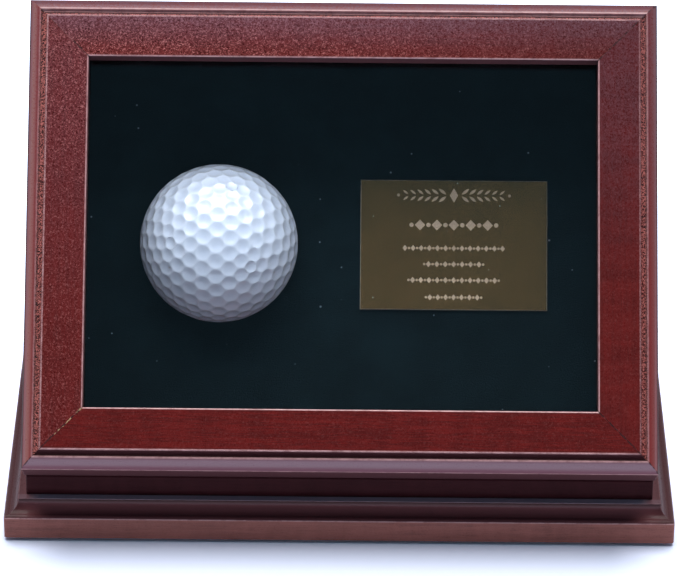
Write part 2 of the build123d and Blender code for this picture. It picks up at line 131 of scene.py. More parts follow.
def an_angle(name, description, degrees):
    return FloatProperty(
        name=name, description=description, default=math.radians(degrees), subtype="ANGLE"
    )


class CaseStudioSettings(bpy.types.PropertyGroup):
    """Camera, floor and lamps"""

    focal_length: FloatProperty(
        name="Focal length", description="Long lens of the product camera",
        default=242.85, min=1, unit="CAMERA",
    )
    distance: a_length("Distance", "Camera to the point it looks at", 1.2215)
    look_at: FloatVectorProperty(
        name="Look at", description="Point in the middle of the view",
        default=(-0.00047, -0.0148, 0.05517), subtype="TRANSLATION", unit="LENGTH", precision=5,
    )
    elevation: an_angle("Elevation", "Camera's height above the horizon", 30.342)
    turn: an_angle("Turn", "Camera's turn about the vertical", -0.139)
    roll: an_angle("Roll", "Camera's tilt to one side", 0.588)
    softbox_power: an_amount("Softbox power", "Lamp above the case", 31.0, unit="POWER")
    softbox_colour: a_colour("Softbox colour", "Nearly neutral white", (1.0, 0.96, 0.93))
    softbox_width: a_length("Softbox width", "Left to right", 1.6)
    softbox_depth: a_length("Softbox depth", "Front to back", 1.2)
    softbox_height: a_length("Softbox height", "Above the floor", 1.3)
    softbox_back: a_length("Softbox set back", "Behind the case's middle", 0.25)
    front_power: an_amount("Front lamp power", "Weak lamp beside the camera", 0.6, unit="POWER")
    fill_colour: a_colour(
        "Fill colour", "Cool light from the sides and behind", (0.42, 0.45, 0.55)
    )
    front_colour: a_colour("Dark side", "Dim room behind the camera", (0.045, 0.090, 0.125))
    back_colour: a_colour("Bright side", "Paper backdrop behind the case", (0.55, 0.58, 0.66))
    left_glow: an_amount("Left side", "The room's left in the lacquer", 1.85)
    right_glow: an_amount("Right side", "The room's right in the lacquer", 0.55)
    floor_colour: a_colour("Floor bounce", "Light that the paper gives back", (0.72, 0.78, 0.88))
    floor_tint: a_colour("Floor tint", "Colour of the paper", (0.73, 0.81, 1.0))
    floor_shown: an_amount("Floor brightness", "How bright the paper shows", 1.31)
    floor_shine: an_amount("Floor in reflections", "The paper in the lacquer", 2.2)


class CaseWoodSettings(bpy.types.PropertyGroup):
    """Stained and lacquered wood"""

    stain: a_colour("Lid stain", "Lit wood of the lid", (0.155, 0.0095, 0.0075))
    band: a_colour("Lid edge stain", "Rounded outer band of the lid", (0.20, 0.023, 0.023))
    body_stain: a_colour("Body stain", "Lit wood of the case", (0.115, 0.012, 0.012))
    base_stain: a_colour("Base stain", "Lit wood of the base", (0.40, 0.135, 0.115))
    # Darker stain on the base's moulding, dark enough to paint in the shade that the lid's
    # overhang casts on its front.
    mould_stain: a_colour("Moulding stain", "Rounded edge of the base", (0.15, 0.048, 0.054))
    # Painted light: a light bluish colour that brightens the base's flat step in front of the
    # case, fading out towards both ends.
    ledge: a_colour("Ledge painted light", "Flat step around the case", (0.46, 0.40, 0.50))
    # Dark stain that also paints the shade under the lid's overhang on the neck, and on the lid's
    # walls.
    neck_stain: a_colour("Neck stain", "Front below the lid", (0.055, 0.013, 0.017))
    # Also the colour of the painted highlights along the lid's moulding.
    worn: a_colour("Worn edge and highlight", "Rubbed lacquer, and painted highlights along the lid's edges", (0.56, 0.31, 0.32))
    chatter: a_colour("Chatter", "Cutter marks in the groove", (0.60, 0.19, 0.17))
    # Painted sheen: a purple-grey colour laid on the lacquer towards the top of the rails, and as
    # a painted reflection on the bottom rail's rounded band.
    haze: a_colour("Haze", "Sheen painted on the lacquer", (0.19, 0.10, 0.14))
    # Painted glints: light specks that stand in for the lacquer catching the light.
    fleck: a_colour("Fleck", "Light glints painted on the lacquer", (0.56, 0.21, 0.20))
    joint: a_colour("Joint", "Glue line of a mitre", (0.012, 0.003, 0.004))
    rail_ease: a_length("Rail easing", "Rounding of the lid's sharp edges", 0.00009)
    body_ease: a_length("Body easing", "Rounding of the case's sharp edges", 0.0003)
    wear_reach: a_length("Wear reach", "How far wear spreads from an edge", 0.0005)
    pale_inside: a_colour("Bare wood", "Strips inside the case", (0.50, 0.34, 0.19))
    fibreboard: a_colour("Fibreboard", "Board under the felt", (0.30, 0.19, 0.10))


class CaseBallSettings(bpy.types.PropertyGroup):
    """Golf ball"""

    long_steps: IntProperty(
        name="Long steps", description="Dimple net's steps along one row", default=5, min=1,
    )
    short_steps: IntProperty(
        name="Short steps", description="Dimple net's steps along the next row", default=2,
        min=0,
    )
    dimple_share: an_amount(
        "Dimple width", "Dimple's radius as a share of the spacing", 0.475, max=1, subtype="FACTOR"
    )
    dimple_depth: a_length("Dimple depth", "Deepest point below the cover", 0.0004)
    cover: a_colour("Cover", "Paint on the ball", (0.61, 0.73, 0.94))
    # Painted shade: the paint darkens a little in the dimples.
    dimple_shade: a_colour("Dimple shade", "Darker paint in the dimples", (0.57, 0.69, 0.91))
    dust: a_colour("Dust", "Specks on the paint", (0.40, 0.40, 0.45))
    spin: an_angle("Spin", "Turn of the dimples about the ball's front", 26.0)


class CasePlateSettings(bpy.types.PropertyGroup):
    """Engraved plate"""

    brass: a_colour("Brass", "Polished face", (0.36, 0.225, 0.093))
    tarnish: a_colour("Tarnish", "Dulled face", (0.29, 0.185, 0.078))
    engraving: a_colour("Engraving", "Frosted bottom of the cuts", (0.56, 0.46, 0.36))
    rim: a_colour("Rim", "Rough cut edge around the face", (0.30, 0.29, 0.25))
    depth: a_length("Engraving depth", "Face to the bottom of a cut", 0.0001)
    chamfer: a_length("Edge chamfer", "Bevel around the face", 0.0002)


class CaseFeltSettings(bpy.types.PropertyGroup):
    """Felt behind the ball and under the case"""

    felt: a_colour("Felt", "Backing felt", (0.0045, 0.0115, 0.0155))
    lint: a_colour("Lint", "Dust caught in the nap", (0.20, 0.24, 0.28))
    foot: a_colour("Foot felt", "Pads under the case", (0.020, 0.021, 0.023))
    roll: a_length("Rolled edge", "Radius where the felt turns into the hole", 0.0007)
    loft: a_length("Loft", "Unevenness of the nap", 0.00008)
    fit: a_length("Fit", "Gap between the felt's hole and the ball", 0.00015)


class CaseHardwareSettings(bpy.types.PropertyGroup):
    """Hinges, screws, nails, catch and glass"""

    brass: a_colour("Brass", "Hinges and their screws", (0.74, 0.55, 0.27))
    zinc: a_colour("Zinc", "Case screws", (0.56, 0.57, 0.58))
    steel: a_colour("Steel", "Strike and corner nails", (0.40, 0.39, 0.38))
    nickel: a_colour("Nickel", "Magnet", (0.62, 0.60, 0.56))
    dirt: a_colour("Dirt", "Dulled metal", (0.10, 0.08, 0.06))
    glass: a_colour("Glass", "Pane", (0.97, 0.99, 0.98))


SETTINGS = {
    "case_studio": CaseStudioSettings,
    "case_wood": CaseWoodSettings,
    "case_ball": CaseBallSettings,
    "case_plate": CasePlateSettings,
    "case_felt": CaseFeltSettings,
    "case_hardware": CaseHardwareSettings,
}


def rgba(colour, share=1.0):
    """A colour, or a darker or lighter share of it, as a socket takes it."""
    return (*[share * part for part in colour], 1.0)


# ---- values ----


ORIGIN = (0.0, 0.0, 0.0)
WHITE = (1.0, 1.0, 1.0, 1.0)


def feed(socket, value):
    """Links a value to a socket, or sets a plain number or colour on the socket itself."""
    if isinstance(value, Value):
        socket.id_data.links.new(value.socket, socket)
    else:
        socket.default_value = value


def add_node(tree, kind, values=(), **settings):
    """A shader node, with values for its sockets in order or by name."""
    made = tree.nodes.new("ShaderNode" + kind)
    for name, setting in settings.items():
        setattr(made, name, setting)
    for key, value in values.items() if isinstance(values, dict) else enumerate(values):
        feed(made.inputs[key], value)
    return made


def from_node(tree, kind, values=(), output=0, **settings):
    """What a new node puts out."""
    return Value(add_node(tree, kind, values, **settings).outputs[output])


def values_of(node):
    """All that a node puts out, by name."""
    return {socket.name: Value(socket) for socket in node.outputs}


class Value:
    """A node's output that adds, multiplies and compares like a number, so that a finish
    reads as a formula. | gives the larger of two values and & the smaller."""

    def __init__(self, socket):
        self.socket = socket
        self.tree = socket.id_data

    def math(self, operation, *values):
        return from_node(self.tree, "Math", values, operation=operation)

    def __add__(self, other):
        return self.math("ADD", self, other)

    def __sub__(self, other):
        return self.math("SUBTRACT", self, other)

    def __rsub__(self, other):
        return self.math("SUBTRACT", other, self)

    def __mul__(self, other):
        return self.math("MULTIPLY", self, other)

    def __or__(self, other):
        return self.math("MAXIMUM", self, other)

    def __and__(self, other):
        return self.math("MINIMUM", self, other)

    def __lt__(self, other):
        return self.math("LESS_THAN", self, other)

    def __gt__(self, other):
        return self.math("GREATER_THAN", self, other)

    def __abs__(self):
        return self.math("ABSOLUTE", self)

    def ramp(self, low, high, start=0.0, end=1.0):
        """Goes smoothly from start at low to end at high."""
        values = (self, low, high, start, end)
        return from_node(self.tree, "MapRange", values, interpolation_type="SMOOTHSTEP")

    def fade(self, low, high):
        return self.ramp(low, high, 1.0, 0.0)

    def line(self, middle, width):
        """1 along a thin line where the value is middle."""
        return abs(self - middle).fade(0.4 * width, width)

    def mix(self, first, second, clamp=True):
        """The first colour where the value is 0, the second where it is 1."""
        values = {0: self, 6: first, 7: second}
        return from_node(self.tree, "Mix", values, 2, data_type="RGBA", clamp_factor=clamp)

    def scaled(self, factor):
        values = {"Vector": self, "Scale": factor}
        return from_node(self.tree, "VectorMath", values, operation="SCALE")

    def stretch(self, x, y, z):
        return from_node(self.tree, "Mapping", {"Vector": self, "Scale": (x, y, z)})

    def noise(self, scale=1.0, detail=2.0, roughness=0.5, distortion=0.0):
        values = {
            "Vector": self, "Scale": scale, "Detail": detail, "Roughness": roughness,
            "Distortion": distortion,
        }
        return from_node(self.tree, "TexNoise", values)

    def parts(self):
        """X, Y and Z of a place, or red, green and blue of a colour."""
        return [Value(socket) for socket in add_node(self.tree, "SeparateXYZ", [self]).outputs]


def place(tree, axes=UPRIGHT, middle=ORIGIN):
    """The object's own coordinates in millimetres, turned to these axes, from middle."""
    values = {
        "Vector": from_node(tree, "TexCoord", output="Object"),
        "Location": -Vector(middle) / MM, "Rotation": axes.to_euler(), "Scale": [1 / MM] * 3,
    }
    return from_node(tree, "Mapping", values)


def add_socket(group, name, side, kind):
    return group.interface.new_socket(name, in_out=side, socket_type="NodeSocket" + kind)


def effect(name, inputs):
    """Turns a function into a shader node group that several finishes share. The group is
    built the first time that a finish asks for it."""
    kinds = {3: "Vector", 4: "Color"}

    def build(fill):
        group = bpy.data.node_groups.new(name, "ShaderNodeTree")
        for label, default in inputs.items():
            kind = "Float" if isinstance(default, float) else kinds[len(default)]
            add_socket(group, label, "INPUT", kind).default_value = default
        start = group.nodes.new("NodeGroupInput")
        filled = fill({label: Value(start.outputs[label]) for label in inputs})
        for label in filled:
            add_socket(group, label, "OUTPUT", "Color" if label == "Color" else "Float")
        end = group.nodes.new("NodeGroupOutput")
        for label, value in filled.items():
            feed(end.inputs[label], value)
        return group

    def shared(fill):
        def placed(tree, values):
            group = bpy.data.node_groups.get(name) or build(fill)
            return values_of(add_node(tree, "Group", values, node_tree=group))

        return placed

    return shared


# ---- effects ----


MIDDLE_TONE = 0.62          # wood between its dark and its light colour

# The lid's moulding, in millimetres in from its outer edge, and out from its face.
GROOVE_IN = 3.1
GROOVE_OUT = 4.85
SIGHT_EDGE = 15.85
OUTER_WALL = 1.0
ARRIS = -4.2


@effect("Wood grain", {
    "Grain": ORIGIN, "Light": WHITE, "Dark": WHITE, "Fleck": WHITE, "Streaks": 0.5,
    "Fibres": 0.3, "Figure": 0.2, "Speckle": 0.3, "Pores": 0.3, "Flecks": 0.0, "Darkest": 0.0,
})
def wood_grain(given):
    """Streaks, pores and figure of a wood, and light specks that are painted glints, in grain
    coordinates: X runs along the fibres.
    """
    grain = given["Grain"]
    fibre = grain.stretch(0.22, 5.0, 5.0).noise(1.0, 2.0)
    speckle = grain.noise(2.2, 2.0, 0.65, 0.8)
    pore = grain.stretch(0.55, 4.2, 4.2).noise(1.0, 1.0).ramp(0.60, 0.72) * given["Pores"]
    # Painted glints on the lacquer.
    fleck = grain.noise(2.2, 2.0, 0.6, 1.2).ramp(0.54, 0.66) * given["Flecks"]
    swings = {
        "Streaks": grain.stretch(0.035, 0.9, 0.9).noise(1.0, 4.0, 0.6), "Fibres": fibre,
        "Figure": grain.stretch(0.24, 0.06, 0.06).noise(1.0, 2.0, 0.5, 0.6),
        "Speckle": speckle,
    }
    tone = MIDDLE_TONE
    for name, swing in swings.items():
        tone = (swing - 0.5) * given[name] + tone
    tone = tone - pore | given["Darkest"]
    wood = tone.ramp(0.0, 1.0).mix(given["Dark"], given["Light"])
    return {
        "Color": fleck.mix(wood, given["Fleck"]),
        "Height": grain.noise(3.0, 1.0) * 0.8 + fibre * 0.35 - pore,
        "Roughness": speckle.ramp(0.3, 0.7, 0.0, 0.12),
        "Glint": speckle.ramp(0.40, 0.62, 0.35, 1.6),
    }


@effect("Edge wear", {"Grain": ORIGIN, "Reach": 0.0005, "Amount": 0.5})
def edge_wear(given):
    """How worn a spot is: it is near a sharp edge, and the wear is uneven."""
    grain = given["Grain"]
    rounded = from_node(grain.tree, "Bevel", {"Radius": given["Reach"]}, samples=6)
    normals = (rounded, from_node(grain.tree, "NewGeometry", output="Normal"))
    bend = 1 - from_node(grain.tree, "VectorMath", normals, "Value", operation="DOT_PRODUCT")
    uneven = grain.noise(0.45, 4.0, 0.7).ramp(0.35, 0.65, 0.25, 1.0)
    return {"Wear": bend.ramp(0.015, 0.12) * uneven * given["Amount"]}


@effect("Rail lines", {
    "Slope": ORIGIN, "Half width": 83.5, "Half height": 63.0, "Chatter": 1.0, "Quirk": 1.0,
    "Shoulder": 0.0, "Underside": 0.0, "Shade": 0.0, "Haze": 0.0, "Haze from": 0.0,
})
def rail_lines(given):
    """Where a spot lies on the lid's moulding: groove, mitre joints and painted highlights, shade,
    sheen and reflection.
    Lengths are in millimetres, from the middle of the lid's face."""
    slope = given["Slope"]
    underside = given["Underside"]
    x, y, z = slope.parts()
    from_side = given["Half width"] - abs(x)
    from_end = given["Half height"] - abs(y)
    inset = from_side & from_end
    apart = abs(from_side - from_end)
    outer = inset < OUTER_WALL
    on_face = z.ramp(-4.0, -3.4)
    chatter = slope.noise(2.6, 1.0, 0.5, 1.0)

    def scratch(middle, width, amount):
        """A line along the face at one distance from the lid's outline."""
        return inset.line(middle, width) * on_face * amount

    # The groove between the rounded band and the flat, with its cutter marks, painted shade in its
    # step, and on the top rail a painted highlight and a dark line.
    rising = inset.ramp(GROOVE_IN - 0.15, GROOVE_IN)
    cut = rising * inset.fade(GROOVE_OUT - 0.25, GROOVE_OUT) * on_face
    groove = cut * given["Chatter"]
    light = groove * chatter.ramp(0.48, 0.58)
    # Painted shade in the groove's step, strongest on the bottom rail where it faces down.
    quirk_shade = scratch(GROOVE_IN + 0.25, 0.4, given["Quirk"])
    # Painted highlight on the top rail's groove floor.
    groove_highlight = scratch(GROOVE_IN + 0.3, 0.75, given["Shade"])
    # A dark line just inside the flat's edge on the top rail.
    top_dark_line = scratch(GROOVE_OUT - 0.7, 0.3, given["Shade"])
    dark = (groove * chatter.fade(0.40, 0.50) | quirk_shade) * (1 - groove_highlight) | top_dark_line * 0.8

    # Painted highlights along the moulding's edges, uneven where the lacquer is rubbed.
    rubbed = slope.noise(0.35, 4.0, 0.7).ramp(0.3, 0.62, 0.45, 1.0)
    arris_highlight = z.line(ARRIS, 0.6) * underside * outer
    shoulder_highlight = scratch(GROOVE_IN - 0.15, 0.42, given["Shoulder"])
    sight_highlight = inset.line(SIGHT_EDGE, 0.35) * z.ramp(-0.3, -0.12)
    nicks = chatter.ramp(0.42, 0.54, 0.7, 0.0) * given["Chatter"]
    flat_edge_highlight = scratch(GROOVE_OUT + 0.1, 0.32, 1 - nicks) * x.ramp(74.0, 77.0, 1.0, 0.5)
    edge = (flat_edge_highlight | groove_highlight | arris_highlight | shoulder_highlight | sight_highlight) * rubbed

    # The mitre joints: one is tight, and one has lost a little of its stain.
    gap = apart < slope.noise(0.8, 3.0).ramp(0.38, 0.62, 0.03, 0.34)
    tight = (x < 0.0) * (y > 0.0) * (inset < 0.75 * SIGHT_EDGE)
    joint = gap * on_face * (1 - tight)
    stripped = slope.noise(0.5, 2.0).ramp(0.47, 0.55) * ((x | y) < 0.0)
    bare = joint * stripped * (inset > 0.55 * SIGHT_EDGE)
    joint = joint * 0.7

    # Painted shade on walls and hollows that the light misses, on the outer walls, on the top
    # rail's band and towards the lid's top right.
    rounded = inset.fade(2.6, GROOVE_IN)
    band = rounded * on_face
    inner_wall_shade = (inset > SIGHT_EDGE + 0.1) * z.fade(-0.35, -0.15)
    under = z.fade(ARRIS - 0.3, ARRIS - 0.15) * outer * underside
    wall = inner_wall_shade | under | cut * underside
    # Painted shade: the outer walls of the top and side rails darken towards their back edge.
    rim = z.ramp(-3.2, -2.2, 0.85, 0.0) * z.ramp(ARRIS - 0.3, ARRIS - 0.1) * outer
    rim = rim * (1 - underside)
    shade = inset.ramp(1.0, 3.4, 0.9, 0.45) * given["Shade"] * band
    lip = inset.ramp(0.2, 1.2, 0.9, 0.0) * on_face
    # Painted shade on the top rail's rounded band.
    shadow = inset.ramp(0.8, 3.0, 0.55, 0.15) * given["Shade"] * band
    # Painted shade: the lid darkens towards its top right.
    painted_top_right_shade = x.ramp(0.0, 75.0) * y.ramp(-40.0, 45.0, 0.0, 0.27)
    # Painted sheen towards the top of the rails, and a painted reflection on the bottom rail's
    # rounded band.
    haze = y.ramp(given["Haze from"], 60.0) * given["Haze"] * on_face
    painted_band_reflection = z.ramp(ARRIS - 0.02, ARRIS + 0.06, 0.0, 0.68) * rounded * underside
    return {
        "Light": light, "Dark": dark, "Edge": edge, "Joint": joint, "Bare": bare, "Band": band,
        "Wall shade": wall, "Rim": rim, "Dull": wall | rim | shade | lip | dark | joint | groove * 0.6,
        "Haze": haze, "Painted band reflection": painted_band_reflection, "Seam": apart.fade(0.7, 1.1) * on_face,
        "Shadow": shadow | painted_top_right_shade,
    }


@effect("Base zones", {"Where": ORIGIN, "Fascia top": 7.0, "Ledge": 11.0, "Front": -50.0})
def base_zones(given):
    """The base's darker moulding with painted shade along its top and ends, painted light on
    its flat step, and the rubbed top edge of its fascia, in millimetres in the frame."""
    x, y, z = given["Where"].parts()
    across = abs(x)
    moulding = z > given["Fascia top"]
    edge = abs(z - given["Fascia top"]).fade(0.08, 0.22)
    rubbed = given["Where"].noise(0.3, 4.0, 0.7).ramp(0.35, 0.6, 0.35, 1.0)
    # Painted light on the flat step in front of the case, fading out towards both ends.
    ledge = z.ramp(given["Ledge"] - 0.12, given["Ledge"]) * across.ramp(78.0, 83.0, 1.0, 0.1)
    # Painted shade along the moulding's top and at both ends of the base.
    painted_moulding_shade = z.ramp(9.4, 10.8, 0.0, 0.75) * z.fade(10.9, 10.96)
    end = across.ramp(81.0, 87.0, 0.0, 0.55) * moulding
    return {
        "Moulding": moulding, "Ledge": ledge * (y < given["Front"]), "Edge": edge * rubbed,
        "Moulding shade": painted_moulding_shade | end,
    }


@effect("Dust specks", {"Where": ORIGIN, "Density": 0.3, "Size": 0.1, "Share": 0.3})
def dust_specks(given):
    """Sparse bright specks of uneven size, laid out over X and Y."""
    values = {"Vector": given["Where"], "Scale": given["Density"]}
    cell = values_of(
        add_node(given["Where"].tree, "TexVoronoi", values, voronoi_dimensions="2D")
    )
    chance, size, _ = cell["Color"].parts()
    near = cell["Distance"] < size * given["Size"]
    return {"Speck": near * (chance < given["Share"])}


@effect("Worked metal", {"Where": ORIGIN})
def worked_metal(given):
    """Fine scratches along X and dull patches."""
    where = given["Where"]
    scratch = where.stretch(0.15, 9.0, 9.0).noise(1.0, 2.0)
    dull = where.noise(0.22, 4.0, 0.6).ramp(0.38, 0.68)
    return {
        "Dull": scratch * 0.25 + dull * 0.75,
        "Roughness": scratch * 0.12 + dull * 0.18,
        "Height": where.noise(6.0, 2.0) * 0.4 + scratch * 0.6,
    }


# ---- finishes ----


LACQUER_ROUGHNESS = 0.26
LACQUER_IOR = 1.5
COAT_ROUGHNESS = 0.16
DARK_GRAIN = 0.3            # the dark grain's colour as a share of the stain
WOOD_WEAR = 0.4
GRAIN_SHIFT = Vector((0.37, 0.11, 0.23))    # from one board's grain to the next one's
FELT_SHEEN = (0.5, 0.75, 1.0, 1.0)


def emptied(owner):
    """The empty node tree of a new material or world."""
    owner.use_nodes = True
    owner.node_tree.nodes.clear()
    return owner.node_tree


def finish(shade):
    """Turns a function that gives a shader into one that makes a material of this name."""

    def made(name, *values, **options):
        material = bpy.data.materials.new(name)
        shader = shade(emptied(material), *values, **options)
        add_node(shader.tree, "OutputMaterial", {"Surface": shader})
        return material

    return made


def principled(tree, colour, roughness, height=None, relief=0.0, **others):
    """The main shader; relief, in metres, is how far it rises where height is 1. In a
    socket's name an underscore stands for a space."""
    values = {"Base Color": colour, "Roughness": roughness}
    values.update((name.replace("_", " "), value) for name, value in others.items())
    if height is not None:
        values["Normal"] = from_node(tree, "Bump", {"Height": height, "Distance": relief})
    return from_node(tree, "BsdfPrincipled", values)


def layered(colour, *layers):
    """Lays one colour over another, each where its mask is 1."""
    for mask, top in layers:
        colour = mask.mix(colour, rgba(top))
    return colour


def dusted(colour, where, lint, density, size, share):
    values = {"Where": where, "Density": density, "Size": size, "Share": share}
    return dust_specks(where.tree, values)["Speck"].mix(colour, lint)


@finish
def stained_wood(tree, axes, seed, stain, gloss, relief, amounts, lines=None, zones=False):
    """Red-brown stain under satin lacquer; lines are the marks along a rail's moulding, with its
    painted highlights, shade, sheen and reflection, and zones paint shade and light on the base.
    """
    wood = bpy.context.scene.case_wood
    grain = place(tree, axes, seed * GRAIN_SHIFT)
    values = {
        "Grain": grain, "Light": rgba(stain), "Dark": rgba(stain, DARK_GRAIN),
        "Fleck": rgba(wood.fleck), **amounts,
    }
    if lines and not lines.get("Underside"):
        x, y, z = place(tree, SLOPE, FACE_CENTRE).parts()
        # Painted glints: the speckle and the light specks are strongest at the lid's top left,
        # where the lacquer caught the light, and fade away from there.
        painted_glint_spread = x.ramp(-60.0, 60.0, 1.0, 0.4) * y.ramp(0.0, 45.0, 0.4, 1.0)
        painted_glint_spread = painted_glint_spread * z.ramp(-5.0, -4.2, 0.35, 1.0)
        for swing in ("Speckle", "Flecks"):
            values[swing] = painted_glint_spread * amounts[swing]
    look = wood_grain(tree, values)
    colour = look["Color"]
    height = look["Height"]
    rough = look["Roughness"] + LACQUER_ROUGHNESS
    coat = gloss
    wear = WOOD_WEAR
    if lines:
        half = (LID_HIGH - LID_LOW) / (2 * MM)
        values = {"Half width": half.x, "Half height": half.y, **lines}
        marks = rail_lines(tree, {"Slope": place(tree, SLOPE, FACE_CENTRE), **values})
        colour = layered(
            colour, (marks["Band"], wood.band),
            # Painted sheen with its glints, and the painted reflection on the bottom band.
            (marks["Haze"] * look["Glint"] + marks["Painted band reflection"], wood.haze),
            (marks["Shadow"], wood.joint), (marks["Light"], wood.chatter),
            (marks["Wall shade"], wood.neck_stain), (marks["Edge"], wood.worn),
            (marks["Dark"] | marks["Joint"] | marks["Rim"], wood.joint),
            (marks["Bare"], wood.pale_inside),
        )
        height = height - marks["Dark"]
        coat = (1 - marks["Dull"]) * gloss
        rough = rough + marks["Dull"] * 0.6
        wear = (1 - marks["Seam"]) * wear
    if zones:
        values = {"Where": place(tree), "Front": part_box("front_rail")[0].y / MM}
        marks = base_zones(tree, values)
        colour = layered(
            colour, (marks["Moulding"], wood.mould_stain), (marks["Moulding shade"], wood.joint),
            (marks["Ledge"], wood.ledge), (marks["Edge"], wood.worn),
        )
        coat = (1 - marks["Moulding shade"]) * gloss
    values = {"Grain": grain, "Reach": wood.wear_reach, "Amount": wear}
    worn = edge_wear(tree, values)["Wear"]
    return principled(
        tree, layered(colour, (worn, wood.worn)), worn * 0.15 + rough, height, relief=relief,
        IOR=LACQUER_IOR, Specular_IOR_Level=0.5 * gloss, Coat_Weight=coat,
        Coat_Roughness=COAT_ROUGHNESS, Coat_IOR=LACQUER_IOR,
    )


@finish
def bare_wood(tree, colour, axes, seed, streaks):
    """Unfinished wood or board inside the case."""
    values = {
        "Grain": place(tree, axes, seed * GRAIN_SHIFT), "Light": rgba(colour),
        "Dark": rgba(colour, 0.62), "Streaks": streaks, "Fibres": 0.6, "Figure": 0.1,
        "Speckle": 0.4, "Pores": 0.1,
    }
    look = wood_grain(tree, values)
    rough = look["Roughness"] + 0.65
    return principled(tree, look["Color"], rough, look["Height"], relief=0.0001)


@finish
def metal(tree, colour, base_roughness):
    """Worked metal with scratches and dull patches."""
    look = worked_metal(tree, {"Where": place(tree, LEVEL_GRAIN)})
    dirt = rgba(bpy.context.scene.case_hardware.dirt)
    tone = (look["Dull"] * 0.45).mix(rgba(colour), dirt)
    rough = look["Roughness"] + base_roughness
    return principled(tree, tone, rough, look["Height"], relief=0.000015, Metallic=1.0)


@finish
def pane_glass(tree):
    """Clear glass that lets the lamps through to what lies behind it."""
    where = place(tree, SLOPE)
    smudge = where.noise(0.05, 3.0).ramp(0.45, 0.75, 0.0, 0.012)
    tint = where.noise(0.4, 2.0).mix(rgba(bpy.context.scene.case_hardware.glass), WHITE)
    glass = principled(tree, tint, smudge, Transmission_Weight=1.0, IOR=1.45)
    shadow_ray = from_node(tree, "LightPath", output="Is Shadow Ray")
    passing = from_node(tree, "BsdfTransparent")
    return from_node(tree, "MixShader", (shadow_ray, glass, passing))


@finish
def matted_felt(tree, colour, lint_share):
    """Matted wool: a soft, uneven nap with caught dust."""
    where = place(tree, SLOPE)
    nap = where.noise(2.6, 4.0, 0.7, 0.8)
    fibre = where.stretch(1.2, 6.0, 6.0).noise(1.0, 2.0, 0.5, 2.0)
    tone = nap * 0.7 + where.noise(0.06, 3.0, 0.6) * 0.8
    cloth = tone.ramp(0.45, 1.05).mix(rgba(colour, 0.45), rgba(colour, 1.35))
    lint = rgba(bpy.context.scene.case_felt.lint)
    cloth = dusted(cloth, where, lint, density=0.16, size=0.045, share=lint_share)
    return principled(
        tree, cloth, nap.ramp(0.3, 0.7, 0.85, 1.0), fibre * 0.5 + nap, relief=0.00025,
        Specular_IOR_Level=0.05, Sheen_Weight=0.02, Sheen_Roughness=0.5, Sheen_Tint=FELT_SHEEN,
    )


@finish
def ball_cover(tree, centre, radius):
    """Glossy paint, a little darker and bluer in the dimples as painted shade."""
    ball = bpy.context.scene.case_ball
    spots = (from_node(tree, "TexCoord", output="Object"), centre)
    sunk = radius - from_node(tree, "VectorMath", spots, "Value", operation="DISTANCE")
    dimple_shade = sunk.ramp(0.1 * ball.dimple_depth, ball.dimple_depth)
    paint = dimple_shade.mix(rgba(ball.cover), rgba(ball.dimple_shade))
    where = place(tree)
    scuff = where.noise(0.5, 5.0, 0.65).ramp(0.3, 0.7, 0.34, 0.44)
    lint = rgba(ball.dust)
    paint = dusted(paint, place(tree, SLOPE), lint, density=0.5, size=0.09, share=0.05)
    return principled(
        tree, paint, scuff, where.noise(5.0, 2.0), relief=0.000006, IOR=LACQUER_IOR,
        Coat_Weight=1.0, Coat_Roughness=0.22, Coat_IOR=1.6,
    )


@finish
def plate_face(tree):
    """Brass sheet with smudges, faint scratches and dust."""
    plate = bpy.context.scene.case_plate
    where = place(tree, SLOPE)
    look = worked_metal(tree, {"Where": where})
    smudge = where.noise(0.16, 4.0, 0.65, 0.6).ramp(0.2, 0.9, 0.0, 0.85)
    brass = (look["Dull"] * 0.15 + smudge).mix(rgba(plate.brass), rgba(plate.tarnish))
    lint = rgba(bpy.context.scene.case_felt.lint, 4)
    brass = dusted(brass, where, lint, density=0.35, size=0.09, share=0.07)
    return principled(tree, brass, look["Roughness"] * 0.15 + 0.14, Metallic=0.85)


@finish
def frosted_brass(tree, colour):
    """Brass left rough by the cutter."""
    frost = place(tree, SLOPE).noise(5.0, 3.0, 0.7)
    tone = frost.ramp(0.3, 0.7).mix(rgba(colour, 0.6), rgba(colour))
    return principled(tree, tone, frost.ramp(0.3, 0.7, 0.6, 0.8), frost, relief=0.00002)


# ---- mesh helpers ----


WELD_DISTANCE = 0.000001
FLAT_ANGLE = math.radians(0.3)
SHARP_ANGLE = math.radians(28)


def dress(name, material):
    """Gives a CAD node its finish."""
    mesh = nodes[name].data
    mesh.materials.clear()
    mesh.materials.append(material)


def smooth_shading():
    """A modifier's node group that shades every face smooth."""
    name = "Smooth shading"
    found = bpy.data.node_groups.get(name)
    if found:
        return found
    tree = bpy.data.node_groups.new(name, "GeometryNodeTree")
    add_socket(tree, "Geometry", "INPUT", "Geometry")
    add_socket(tree, "Geometry", "OUTPUT", "Geometry")
    start = tree.nodes.new("NodeGroupInput")
    smooth = tree.nodes.new("GeometryNodeSetShadeSmooth")
    end = tree.nodes.new("NodeGroupOutput")
    tree.links.new(start.outputs[0], smooth.inputs["Geometry"])
    tree.links.new(smooth.outputs[0], end.inputs[0])
    return tree


